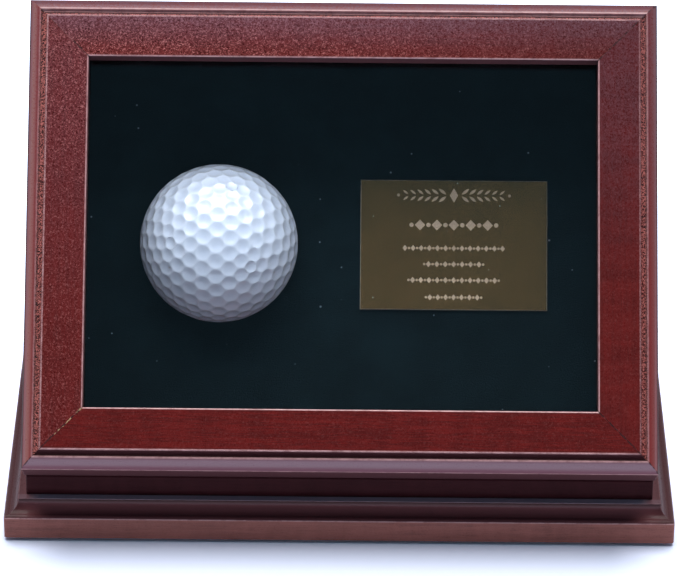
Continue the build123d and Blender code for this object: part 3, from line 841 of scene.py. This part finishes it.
def ease_edges(name, width, segments=3):
    """Rounds the sharp edges of a CAD node with modifiers."""
    stack = nodes[name].modifiers
    stack.new("Weld", "WELD").merge_threshold = WELD_DISTANCE
    flat = stack.new("Flat faces", "DECIMATE")
    flat.decimate_type = "DISSOLVE"
    flat.angle_limit = FLAT_ANGLE
    ease = stack.new("Eased edges", "BEVEL")
    ease.width = width
    ease.segments = segments
    ease.limit_method = "ANGLE"
    ease.angle_limit = SHARP_ANGLE
    ease.use_clamp_overlap = True
    stack.new("Smooth", "NODES").node_group = smooth_shading()
    stack.new("Even normals", "WEIGHTED_NORMAL").weight = 100


def add_object(name, data):
    made = bpy.data.objects.new(name, data)
    bpy.context.scene.collection.objects.link(made)
    return made


def new_piece(name, mesh, slot, *replaced):
    """Adds a mesh as a piece of the object."""
    piece = add_object(name, mesh)
    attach(piece, CASE)
    if replaced:
        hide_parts(*replaced)
    return piece


def finished_mesh(name, shape, *materials, smooth=True):
    """Turns a bmesh into a mesh with its finishes."""
    bmesh.ops.recalc_face_normals(shape, faces=shape.faces)
    mesh = bpy.data.meshes.new(name)
    shape.to_mesh(mesh)
    shape.free()
    for material in materials:
        mesh.materials.append(material)
    mesh.polygons.foreach_set("use_smooth", [smooth] * len(mesh.polygons))
    return mesh


def bridge(shape, lower, painted_moulding_shade):
    """Quads between two closed rings with as many points."""
    count = len(lower)
    return [
        shape.faces.new((lower[i], lower[(i + 1) % count], painted_moulding_shade[(i + 1) % count], painted_moulding_shade[i]))
        for i in range(count)
    ]


def fan(shape, middle, ring):
    """Triangles from a new point in the middle to a closed ring."""
    hub = shape.verts.new(middle)
    for corner, following in zip(ring, ring[1:] + ring[:1]):
        shape.faces.new((hub, corner, following))


# ---- golf ball ----


EDGE_STEPS = 4                                  # points along one side of a dimple's cell
DIMPLE_RINGS = (0.3, 0.6, 0.85, 0.97, 1.03)     # shares of the dimple's radius
RIM_SOFTNESS = 0.0004                           # how gently the bowl meets the cover
EVENING_ROUNDS = 8
NEARLY_ZERO = 1e-9
SAME_PLACE = 1e-7


def dimple_centres(long_steps, short_steps):
    """Unit vectors of a hexagonal net folded on an icosahedron, one of its faces up."""
    solid = bmesh.new()
    bmesh.ops.create_icosphere(solid, subdivisions=1, radius=1)
    total = long_steps**2 + long_steps * short_steps + short_steps**2
    reach = long_steps + short_steps
    solid.faces.ensure_lookup_table()
    upright = solid.faces[0].normal.rotation_difference(SKYWARD)
    found = {}
    for face in solid.faces:
        first, second, third = (corner.co for corner in face.verts)
        for i in range(-reach, reach + 1):
            for j in range(reach + 1):
                b = (i * reach + j * short_steps) / total
                c = (j * long_steps - i * short_steps) / total
                if min(b, c, 1 - b - c) < -NEARLY_ZERO:
                    continue
                spot = (first * (1 - b - c) + second * b + third * c).normalized()
                found[tuple(round(part, 5) for part in spot)] = upright @ spot
    solid.free()
    return list(found.values())


def dimple_cells(centres):
    """Each dimple's centre, the corners of its six-sided or five-sided cell in order, and
    the angle to its neighbours."""
    net = bmesh.new()
    for centre in centres:
        net.verts.new(centre)
    bmesh.ops.convex_hull(net, input=net.verts)
    net.normal_update()
    cells = []
    for dimple in net.verts:
        centre = dimple.co.normalized()
        side = centre.orthogonal().normalized()
        other = centre.cross(side)
        corners = [face.normal.normalized() for face in dimple.link_faces]
        corners.sort(key=lambda corner: math.atan2(corner.dot(other), corner.dot(side)))
        spacing = sum(centre.angle(edge.other_vert(dimple).co) for edge in dimple.link_edges)
        cells.append((centre, corners, spacing / len(dimple.link_edges)))
    net.free()
    return cells


def dimple_sink(share):
    """Depth at this share of a dimple's radius, as a share of the depth at its middle."""
    bowl = 1 - share**2
    return (bowl + math.sqrt(bowl**2 + RIM_SOFTNESS)) / 2


def dimpled_ball(radius, settings):
    """Mesh of a golf ball: one ring of quads after another from each dimple to its cell. The
    dimples first move to the middles of their cells a few times."""
    shape = bmesh.new()
    centres = dimple_centres(settings.long_steps, settings.short_steps)
    for _ in range(EVENING_ROUNDS):
        centres = [sum(corners, Vector()).normalized() for _, corners, _ in dimple_cells(centres)]
    for centre, corners, spacing in dimple_cells(centres):
        rim = [
            corner.lerp(following, step / EDGE_STEPS).normalized()
            for corner, following in zip(corners, corners[1:] + corners[:1])
            for step in range(EDGE_STEPS)
        ]
        rays = [(spot - centre * spot.dot(centre)).normalized() for spot in rim]
        rings = []
        for share in DIMPLE_RINGS:
            angle = share * settings.dimple_share * spacing
            height = radius - settings.dimple_depth * dimple_sink(share)
            rings.append([
                shape.verts.new((centre * math.cos(angle) + ray * math.sin(angle)) * height)
                for ray in rays
            ])
        rings.append([shape.verts.new(spot * radius) for spot in rim])
        fan(shape, centre * (radius - settings.dimple_depth), rings[0])
        for inner, outer in zip(rings, rings[1:]):
            bridge(shape, inner, outer)
    bmesh.ops.remove_doubles(shape, verts=shape.verts, dist=SAME_PLACE)
    return shape


# ---- engraved plate ----


# In millimetres: a row's height above the plate's middle, its width, its marks' height and,
# for beads, their pitch.
LAUREL_ROW = (13.7, 31.0, 4.2)
BEAD_ROWS = (
    (5.5, 23.0, 3.0, 2.1), (-0.9, 26.5, 1.7, 1.15), (-5.3, 16.0, 1.7, 1.15),
    (-9.7, 24.5, 1.7, 1.15), (-14.4, 15.0, 1.7, 1.15),
)
LEAF_PAIRS = 6
LEAF_LEAN = math.radians(38)
LEAF_STEPS = 6
FACE_SLOT, CUT_SLOT, RIM_SLOT = range(3)


def leaf_mark(x, y, length, width, turn):
    """A pointed leaf from its stalk at (x, y)."""
    outline = []
    for side in (-1, 1):
        for i in range(LEAF_STEPS):
            along = i / LEAF_STEPS if side < 0 else 1 - i / LEAF_STEPS
            outline.append((length * along, side * width / 2 * math.sin(math.pi * along)))
    c, s = math.cos(turn), math.sin(turn)
    return [(x + c * a - s * b, y + s * a + c * b) for a, b in outline]


def lozenge_mark(x, y, width, height):
    return [(x + width / 2, y), (x, y + height / 2), (x - width / 2, y), (x, y - height / 2)]


def round_mark(x, y, radius, points):
    turns = [2 * math.pi * i / points for i in range(points)]
    return [(x + radius * math.cos(turn), y + radius * math.sin(turn)) for turn in turns]


def laurel_row(y, width, height):
    """Two sprays of leaves on either side of a lozenge."""
    marks = [lozenge_mark(0, y, 0.55 * height, 0.95 * height)]
    step = (width / 2 - 0.75 * height) / LEAF_PAIRS
    for side in (1, -1):
        for i in range(LEAF_PAIRS):
            x = side * (0.5 * height + i * step)
            size = 0.62 * height * (1 - 0.06 * i)
            for lean in (1, -1):
                turn = lean * LEAF_LEAN if side > 0 else math.pi - lean * LEAF_LEAN
                stalk = y + lean * 0.06 * height
                marks.append(leaf_mark(x, stalk, size, 0.32 * size, turn))
        marks.append(round_mark(side * (width / 2 - 0.1 * height), y, 0.1 * height, 14))
    return marks


def bead_row(y, width, height, pitch):
    """Lozenges and dots in turn, with a lozenge in the middle."""
    count = 2 * round(width / pitch / 2)
    step = width / count
    return [
        round_mark(i * step, y, 0.21 * height, 10) if i % 2
        else lozenge_mark(i * step, y, 1.25 * step, height)
        for i in range(-count // 2, count // 2 + 1)
    ]


def plate_marks():
    """Outlines of all the engraved marks, in metres from the plate's middle."""
    marks = laurel_row(*LAUREL_ROW)
    for row in BEAD_ROWS:
        marks += bead_row(*row)
    return [[Vector((MM * x, MM * y, 0)) for x, y in outline] for outline in marks]


def engraved_plate(low, high, settings):
    """Mesh of the plate with its chamfered edge and its cut marks, in slope coordinates."""
    middle = (low + high) / 2
    half = (high - low) / 2
    shape = bmesh.new()

    def corners(inset, z):
        return [
            Vector((middle.x + a * (half.x - inset), middle.y + b * (half.y - inset), z))
            for a, b in ((-1, -1), (1, -1), (1, 1), (-1, 1))
        ]

    def ring(spots):
        return [shape.verts.new(from_slope(spot)) for spot in spots]

    back = ring(corners(0, low.z))
    side = ring(corners(0, high.z - settings.chamfer))
    loops = [corners(settings.chamfer, high.z)] + [
        [Vector((middle.x + p.x, middle.y + p.y, high.z)) for p in outline]
        for outline in plate_marks()
    ]
    spots = [spot for loop in loops for spot in loop]
    face_verts = ring(spots)
    cut_verts = ring([spot - Vector((0, 0, settings.depth)) for spot in spots])
    starts = [sum(len(loop) for loop in loops[:i]) for i in range(len(loops))]
    outlines = [range(start, start + len(loop)) for start, loop in zip(starts, loops)]
    shape.faces.new(back)
    bridge(shape, back, side)
    for face in bridge(shape, side, face_verts[:4]):
        face.material_index = RIM_SLOT
    for outline in outlines[1:]:
        wall = bridge(shape, [face_verts[i] for i in outline], [cut_verts[i] for i in outline])
        for face in wall:
            face.material_index = CUT_SLOT
    filled = delaunay_2d_cdt([spot.xy for spot in spots], [], outlines, 1, NEARLY_ZERO)
    _, _, triangles, same_spots, _, owners = filled
    for triangle, owned_by in zip(triangles, owners):
        inside_mark = len(owned_by) > 1
        source = cut_verts if inside_mark else face_verts
        face = shape.faces.new([source[same_spots[i][0]] for i in triangle])
        face.material_index = CUT_SLOT if inside_mark else FACE_SLOT
    for spare in cut_verts[:4]:
        shape.verts.remove(spare)
    return shape


# ---- felt ----


SHEET_TURNS = 160
SHEET_RINGS = 26
RING_SPREAD = 1.3           # above 1, the rings lie closer together near the hole
ROLL_STEPS = 5
EDGE_DROP = 0.15            # at the sheet's edge, as a share of its thickness
NAP_SCALE = 260             # lumps of the nap per metre

FOOT_TURNS = 48
FOOT_FRAY = 0.02
FOOT_PROFILE = (            # share of the radius, share of the height
    (0.45, 0.0), (0.86, 0.0), (0.96, 0.06), (1.0, 0.22), (0.985, 0.5), (1.0, 0.8),
    (0.97, 1.0), (0.5, 1.0),
)


def holed_sheet(low, high, hole_x, hole_y, hole_radius, settings):
    """Felt sheet in slope coordinates, its front rolled over into the ball's hole."""
    shape = bmesh.new()
    angles = [2 * math.pi * i / SHEET_TURNS for i in range(SHEET_TURNS)]
    for x in (low.x, high.x):
        for y in (low.y, high.y):
            corner = math.atan2(y - hole_y, x - hole_x) % (2 * math.pi)
            nearest = min(range(SHEET_TURNS), key=lambda i: abs(angles[i] - corner))
            angles[nearest] = corner

    def edge_distance(c, s):
        """From the hole's middle to the sheet's edge in one direction."""
        reach = []
        if abs(c) > NEARLY_ZERO:
            reach.append(((high.x if c > 0 else low.x) - hole_x) / c)
        if abs(s) > NEARLY_ZERO:
            reach.append(((high.y if s > 0 else low.y) - hole_y) / s)
        return min(reach)

    def ring(z, start, share=0.0):
        """A ring at this share of the way from start to the sheet's edge."""
        made = []
        for angle in angles:
            c, s = math.cos(angle), math.sin(angle)
            distance = start + (edge_distance(c, s) - start) * share
            x = hole_x + c * distance
            y = hole_y + s * distance
            lift = noise.noise(Vector((x, y, 0)) * NAP_SCALE) - 1
            nap = 0.5 * settings.loft * lift if z == high.z else 0
            made.append(shape.verts.new(from_slope((x, y, z + nap))))
        return made

    loops = [ring(low.z, hole_radius)]
    for i in range(ROLL_STEPS + 1):
        turn = math.pi / 2 * i / ROLL_STEPS
        down = high.z - settings.roll * (1 - math.sin(turn))
        loops.append(ring(down, hole_radius + settings.roll * (1 - math.cos(turn))))
    for i in range(1, SHEET_RINGS):
        share = (i / SHEET_RINGS) ** RING_SPREAD
        loops.append(ring(high.z, hole_radius + settings.roll, share))
    loops.append(ring(high.z - EDGE_DROP * (high.z - low.z), 0.0, 1.0))
    loops.append(ring(low.z, 0.0, 1.0))
    for inner, outer in zip(loops, loops[1:] + loops[:1]):
        bridge(shape, inner, outer)
    return shape


def felt_disc(centre, radius, height, seed):
    """Punched felt disc, slightly crushed and frayed round its edge."""
    shape = bmesh.new()
    loops = []
    for share, level in FOOT_PROFILE:
        loop = []
        for i in range(FOOT_TURNS):
            turn = 2 * math.pi * i / FOOT_TURNS
            c, s = math.cos(turn), math.sin(turn)
            frayed = noise.noise(Vector((3 * c + seed, 3 * s, 2 * level))) - 0.6
            reach = radius * share * (1 + FOOT_FRAY * frayed)
            loop.append(shape.verts.new(centre + Vector((c * reach, s * reach, level * height))))
        loops.append(loop)
    for lower, painted_moulding_shade in zip(loops, loops[1:]):
        bridge(shape, lower, painted_moulding_shade)
    fan(shape, centre, loops[0])
    fan(shape, centre + height * SKYWARD, loops[-1])
    return shape


# ---- studio ----


def add_camera(scene, studio):
    turn = (
        Matrix.Rotation(studio.turn, 3, "Z")
        @ Matrix.Rotation(math.pi / 2 - studio.elevation, 3, "X")
        @ Matrix.Rotation(studio.roll, 3, "Z")
    )
    data = bpy.data.cameras.new("Product camera")
    data.lens = studio.focal_length
    data.sensor_width = SENSOR_WIDTH
    data.clip_start = NEAR_CLIP
    data.clip_end = FAR_CLIP
    camera = add_object("Product camera", data)
    spot = Vector(studio.look_at) + turn @ Vector((0, 0, studio.distance))
    camera.matrix_world = Matrix.Translation(spot) @ turn.to_4x4()
    scene.camera = camera


@finish
def pale_paper(tree, studio):
    """Paper that shows nearly white, with painted light making it brightest behind the case, and a
    painted reflection making it brightest in the lacquer in front.
    """
    rays = values_of(add_node(tree, "LightPath"))
    where = place(tree)
    y = where.parts()[1]
    straight = rays["Diffuse Depth"] < 0.5
    seen = (rays["Is Camera Ray"] | rays["Is Transmission Ray"]) * straight
    # Painted reflection: the paper shows brighter in the lacquer in front of the case.
    mirrored = rays["Is Glossy Ray"] * straight * y.ramp(-110.0, -50.0, 1.0, 0.25)
    shine = rgba(studio.floor_tint, studio.floor_shine)
    near = rgba(studio.floor_tint, studio.floor_shown)
    far = rgba(studio.floor_tint, studio.floor_shown * FAR_FLOOR)
    colour = mirrored.mix(rgba(studio.floor_colour), shine)
    # Painted light: the paper shows brighter behind the case.
    colour = seen.mix(colour, y.ramp(-90.0, 40.0).mix(near, far))
    colour = colour.scaled(where.noise(0.3, 3.0).ramp(0.0, 1.0, 0.985, 1.0))
    return from_node(tree, "BsdfDiffuse", {"Color": colour})


def add_floor(studio):
    shape = bmesh.new()
    bmesh.ops.create_grid(shape, x_segments=4, y_segments=4, size=FLOOR_SIZE)
    mesh = finished_mesh("Paper floor", shape, pale_paper("Paper floor", studio))
    add_object("Paper_floor", mesh)


def add_room(scene, studio):
    """White paper all round for what the camera sees, cool fill light for the rest."""
    world = bpy.data.worlds.new("Studio room")
    world.cycles.sampling_method = "NONE"
    tree = emptied(world)
    rays = values_of(add_node(tree, "LightPath"))
    x, y, _ = from_node(tree, "TexCoord", output="Generated").parts()
    shown = (rays["Is Glossy Ray"] | rays["Is Transmission Ray"]) * (rays["Diffuse Depth"] < 0.5)
    lit = shown.mix(rgba(studio.fill_colour), rgba(studio.back_colour))
    lit = y.ramp(-0.45, 0.85).mix(rgba(studio.front_colour), lit)
    left = x.ramp(-0.98, -0.75, studio.left_glow, 0.0)
    right = x.ramp(0.75, 0.98, 0.0, studio.right_glow)
    lit = ((left + right) * shown).mix(lit, WHITE, clamp=False)
    light = from_node(tree, "Background", {"Color": rays["Is Camera Ray"].mix(lit, WHITE)})
    add_node(tree, "OutputWorld", {"Surface": light})
    scene.world = world


def add_lamp(name, power, colour, width, depth, spot, tilt):
    """A soft lamp that the camera doesn't see."""
    data = bpy.data.lights.new(name, "AREA")
    data.shape = "RECTANGLE"
    data.size = width
    data.size_y = depth
    data.energy = power
    data.color = colour
    lamp = add_object(name, data)
    lamp.location = spot
    lamp.rotation_euler = (tilt, 0, 0)
    lamp.visible_camera = False
    return lamp


# ---- operators ----


PLAIN_WOOD = {"Streaks": 0.55, "Fibres": 0.35, "Figure": 0.35, "Speckle": 0.25, "Pores": 0.12}
RAIL_WOOD = {**PLAIN_WOOD, "Figure": 0.3, "Pores": 0.0}
RAIL_LOOKS = {              # grain, gloss, relief in millimetres, figure and moulding lines
    "frame_bottom": (
        FLAT_GRAIN, 0.5, 0.01,
        {"Streaks": 1.0, "Speckle": 0.3, "Fibres": 1.3, "Figure": 0.5, "Flecks": 0.07,
         "Darkest": 0.44},
        {"Chatter": 0.0, "Quirk": 0.5, "Shoulder": 1.0, "Underside": 1.0},
    ),
    "frame_top": (
        FLAT_GRAIN, 0.65, 0.05, {"Speckle": 2.4, "Flecks": 0.9},
        {"Chatter": 0.8, "Quirk": 0.0, "Shoulder": 0.6, "Shade": 1.0, "Haze": 0.5,
         "Haze from": 47.0},
    ),
    "frame_left": (
        STEEP_GRAIN, 0.65, 0.04, {"Speckle": 2.2, "Flecks": 0.75},
        {"Chatter": 1.0, "Quirk": 0.3, "Shoulder": 0.4, "Haze": 0.15, "Haze from": -40.0},
    ),
    "frame_right": (
        STEEP_GRAIN, 0.55, 0.02,
        {"Speckle": 2.0, "Figure": 0.6, "Flecks": 0.4, "Darkest": 0.46},
        {"Chatter": 0.8, "Quirk": 0.3, "Shoulder": 0.5, "Haze": 0.25, "Haze from": -20.0},
    ),
}
BODY_RELIEF = 0.04
BODY_LOOKS = {              # grain, stain and gloss
    "base_board": (LEVEL_GRAIN, "base_stain", 0.2),
    # The neck's dark stain also paints the shade under the lid.
    "front_rail": (FRONT_GRAIN, "neck_stain", 0.03),
    "top_board": (grain_axes(ACROSS, UP), "body_stain", 0.5),
    "back_panel": (FRONT_GRAIN, "body_stain", 0.5),
    "left_side": (SIDE_GRAIN, "body_stain", 0.5),
    "right_side": (SIDE_GRAIN, "body_stain", 0.5),
    **{f"bead_{side}": (FLAT_GRAIN, "body_stain", 0.3) for side in ("bottom", "top")},
    **{f"bead_{side}": (STEEP_GRAIN, "body_stain", 0.3) for side in ("left", "right")},
}
SEED_STEP = 0.09            # from one board's seed to the next one's
FIRST_BODY_SEED = 11


class StudioOperator(bpy.types.Operator):
    """Set up the camera, the paper floor and the soft light"""

    bl_idname = "display_case.studio"
    bl_label = "Studio"

    def execute(self, context):
        studio = context.scene.case_studio
        add_camera(context.scene, studio)
        add_floor(studio)
        add_room(context.scene, studio)
        add_lamp(
            "Softbox", studio.softbox_power, studio.softbox_colour, studio.softbox_width,
            studio.softbox_depth, (0, studio.softbox_back, studio.softbox_height), 0,
        )
        front = add_lamp(
            "Front lamp", studio.front_power, FRONT_LAMP_COLOUR, FRONT_LAMP_SIZE,
            FRONT_LAMP_SIZE, FRONT_LAMP_PLACE, FRONT_LAMP_TILT,
        )
        front.visible_glossy = False
        context.scene.view_settings.view_transform = "Standard"
        return {"FINISHED"}


class WoodOperator(bpy.types.Operator):
    """Stain and lacquer the lid, the case and the base, and ease their edges"""

    bl_idname = "display_case.wood"
    bl_label = "Stained wood"

    def execute(self, context):
        wood = context.scene.case_wood
        for seed, (name, look) in enumerate(RAIL_LOOKS.items(), 1):
            axes, gloss, relief, amounts, lines = look
            dress(name, stained_wood(
                "Stain " + name, axes, SEED_STEP * seed, wood.stain, gloss, relief * MM,
                {**RAIL_WOOD, **amounts}, lines,
            ))
            ease_edges(name, wood.rail_ease, segments=2)
        for seed, (name, look) in enumerate(BODY_LOOKS.items(), FIRST_BODY_SEED):
            axes, stain, gloss = look
            dress(name, stained_wood(
                "Stain " + name, axes, SEED_STEP * seed, getattr(wood, stain), gloss,
                BODY_RELIEF * MM, PLAIN_WOOD, zones=name == "base_board",
            ))
            ease_edges(name, wood.rail_ease if "bead" in name else wood.body_ease)
        return {"FINISHED"}


class InnerBoardsOperator(bpy.types.Operator):
    """Finish the fibreboard under the felt and the bare strips that carry it"""

    bl_idname = "display_case.inner_boards"
    bl_label = "Inner boards"

    def execute(self, context):
        wood = context.scene.case_wood
        board = bare_wood("Fibreboard", wood.fibreboard, STEEP_GRAIN, seed=0.3, streaks=0.1)
        dress("display_board", board)
        cleats = {"left": STEEP_GRAIN, "right": STEEP_GRAIN, "toe": LEVEL_GRAIN}
        for seed, (side, axes) in enumerate(cleats.items(), 1):
            name = side + "_cleat"
            dress(name, bare_wood(
                "Bare " + name, wood.pale_inside, axes, seed=0.1 * seed, streaks=0.9,
            ))
            ease_edges(name, wood.body_ease)
        return {"FINISHED"}


class HardwareOperator(bpy.types.Operator):
    """Finish the hinges, screws, nails and catch"""

    bl_idname = "display_case.hardware"
    bl_label = "Hardware"

    def execute(self, context):
        hardware = context.scene.case_hardware
        hinges = [
            f"{side}_hinge_{part}"
            for side in ("left", "right")
            for part in ("case_leaf", "lid_leaf", "pin")
        ]
        looks = {
            "Hinge brass": (hardware.brass, 0.22, hinges),
            "Screw brass": (hardware.brass, 0.28, ["case_hinge_screws", "lid_hinge_screws"]),
            "Screw zinc": (hardware.zinc, 0.3, ["base_screws", "back_screws"]),
            "Strike steel": (hardware.steel, 0.3, ["strike_plate"]),
            "Nail steel": (hardware.steel, 0.35, ["corner_nails"]),
            "Magnet nickel": (hardware.nickel, 0.15, ["catch_magnet"]),
        }
        for name, (colour, roughness, pieces) in looks.items():
            material = metal(name, colour, roughness)
            for piece in pieces:
                dress(piece, material)
        return {"FINISHED"}


class GlassOperator(bpy.types.Operator):
    """Finish the glass pane"""

    bl_idname = "display_case.glass"
    bl_label = "Glass"

    def execute(self, context):
        dress("glass_pane", pane_glass("Pane glass"))
        return {"FINISHED"}


class BallOperator(bpy.types.Operator):
    """Model the dimpled golf ball"""

    bl_idname = "display_case.ball"
    bl_label = "Golf ball"

    def execute(self, context):
        ball = context.scene.case_ball
        low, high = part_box("golf_ball")
        centre = (low + high) / 2
        radius = (high.z - low.z) / 2
        shape = dimpled_ball(radius, ball)
        facing = SKYWARD.rotation_difference(OUT).to_matrix()
        turn = (facing @ Matrix.Rotation(ball.spin, 3, "Z")).to_4x4()
        bmesh.ops.transform(shape, matrix=Matrix.Translation(centre) @ turn, verts=shape.verts)
        mesh = finished_mesh("Golf ball", shape, ball_cover("Ball cover", centre, radius))
        new_piece("dimpled_ball", mesh, "ball_cover", "golf_ball")
        return {"FINISHED"}


class PlateOperator(bpy.types.Operator):
    """Model the engraved plate with its leaves and beads"""

    bl_idname = "display_case.plate"
    bl_label = "Engraved plate"

    def execute(self, context):
        plate = context.scene.case_plate
        shape = engraved_plate(*slope_box("name_plate"), plate)
        cut = frosted_brass("Plate engraving", plate.engraving)
        rim = frosted_brass("Plate rim", plate.rim)
        face = plate_face("Plate brass")
        mesh = finished_mesh("Plate", shape, face, cut, rim, smooth=False)
        new_piece("engraved_plate", mesh, "plate_brass", "name_plate")
        return {"FINISHED"}


class FeltOperator(bpy.types.Operator):
    """Lay the felt over the display board"""

    bl_idname = "display_case.felt"
    bl_label = "Backing felt"

    def execute(self, context):
        felt = context.scene.case_felt
        low, high = slope_box("felt_cover")
        ball_low, ball_high = slope_box("golf_ball")
        middle = (ball_low + ball_high) / 2
        radius = (ball_high.x - ball_low.x) / 2
        hole = math.sqrt(radius**2 - (middle.z - high.z) ** 2) + felt.fit
        shape = holed_sheet(low, high, middle.x, middle.y, hole, felt)
        cloth = matted_felt("Backing felt", felt.felt, lint_share=0.12)
        mesh = finished_mesh("Backing felt", shape, cloth)
        piece = new_piece("backing_felt", mesh, "black_felt", "felt_cover")
        return {"FINISHED"}


class FeetOperator(bpy.types.Operator):
    """Stick a felt pad under each corner of the base"""

    bl_idname = "display_case.feet"
    bl_label = "Felt feet"

    def execute(self, context):
        low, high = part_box("feet")
        corner = [v.co for v in nodes["feet"].data.vertices if v.co.x < 0 and v.co.y < 0]
        radius = (max(spot.x for spot in corner) - low.x) / 2
        cloth = matted_felt("Foot felt", context.scene.case_felt.foot, lint_share=0.1)
        pads = []
        for x in (low.x + radius, high.x - radius):
            for y in (low.y + radius, high.y - radius):
                name = f"foot_pad_{len(pads) + 1}"
                shape = felt_disc(Vector((x, y, low.z)), radius, high.z - low.z, len(pads))
                pads.append(new_piece(name, finished_mesh(name, shape, cloth), "foot_felt"))
        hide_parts("feet")
        return {"FINISHED"}


OPERATORS = (
    StudioOperator, WoodOperator, InnerBoardsOperator, HardwareOperator, GlassOperator,
    BallOperator, PlateOperator, FeltOperator, FeetOperator,
)


class DisplayCasePanel(bpy.types.Panel):
    """Settings and steps of the display case"""

    bl_idname = "VIEW3D_PT_display_case"
    bl_label = "Display Case"
    bl_space_type = "VIEW_3D"
    bl_region_type = "UI"
    bl_category = "Display Case"

    def draw(self, context):
        layout = self.layout
        for attribute, group in SETTINGS.items():
            box = layout.box()
            box.label(text=group.__doc__)
            settings = getattr(context.scene, attribute)
            for name in group.__annotations__:
                box.prop(settings, name)
        for operator in OPERATORS:
            layout.operator(operator.bl_idname)


def register():
    for attribute, group in SETTINGS.items():
        bpy.utils.register_class(group)
        setattr(bpy.types.Scene, attribute, PointerProperty(type=group))
    for kind in (*OPERATORS, DisplayCasePanel):
        bpy.utils.register_class(kind)


def unregister():
    for kind in (DisplayCasePanel, *reversed(OPERATORS)):
        bpy.utils.unregister_class(kind)
    for attribute, group in reversed(SETTINGS.items()):
        delattr(bpy.types.Scene, attribute)
        bpy.utils.unregister_class(group)


def main():
    register()
    for operator in OPERATORS:
        module, name = operator.bl_idname.split(".")
        getattr(getattr(bpy.ops, module), name)()


if __name__ == "__main__":
    main()
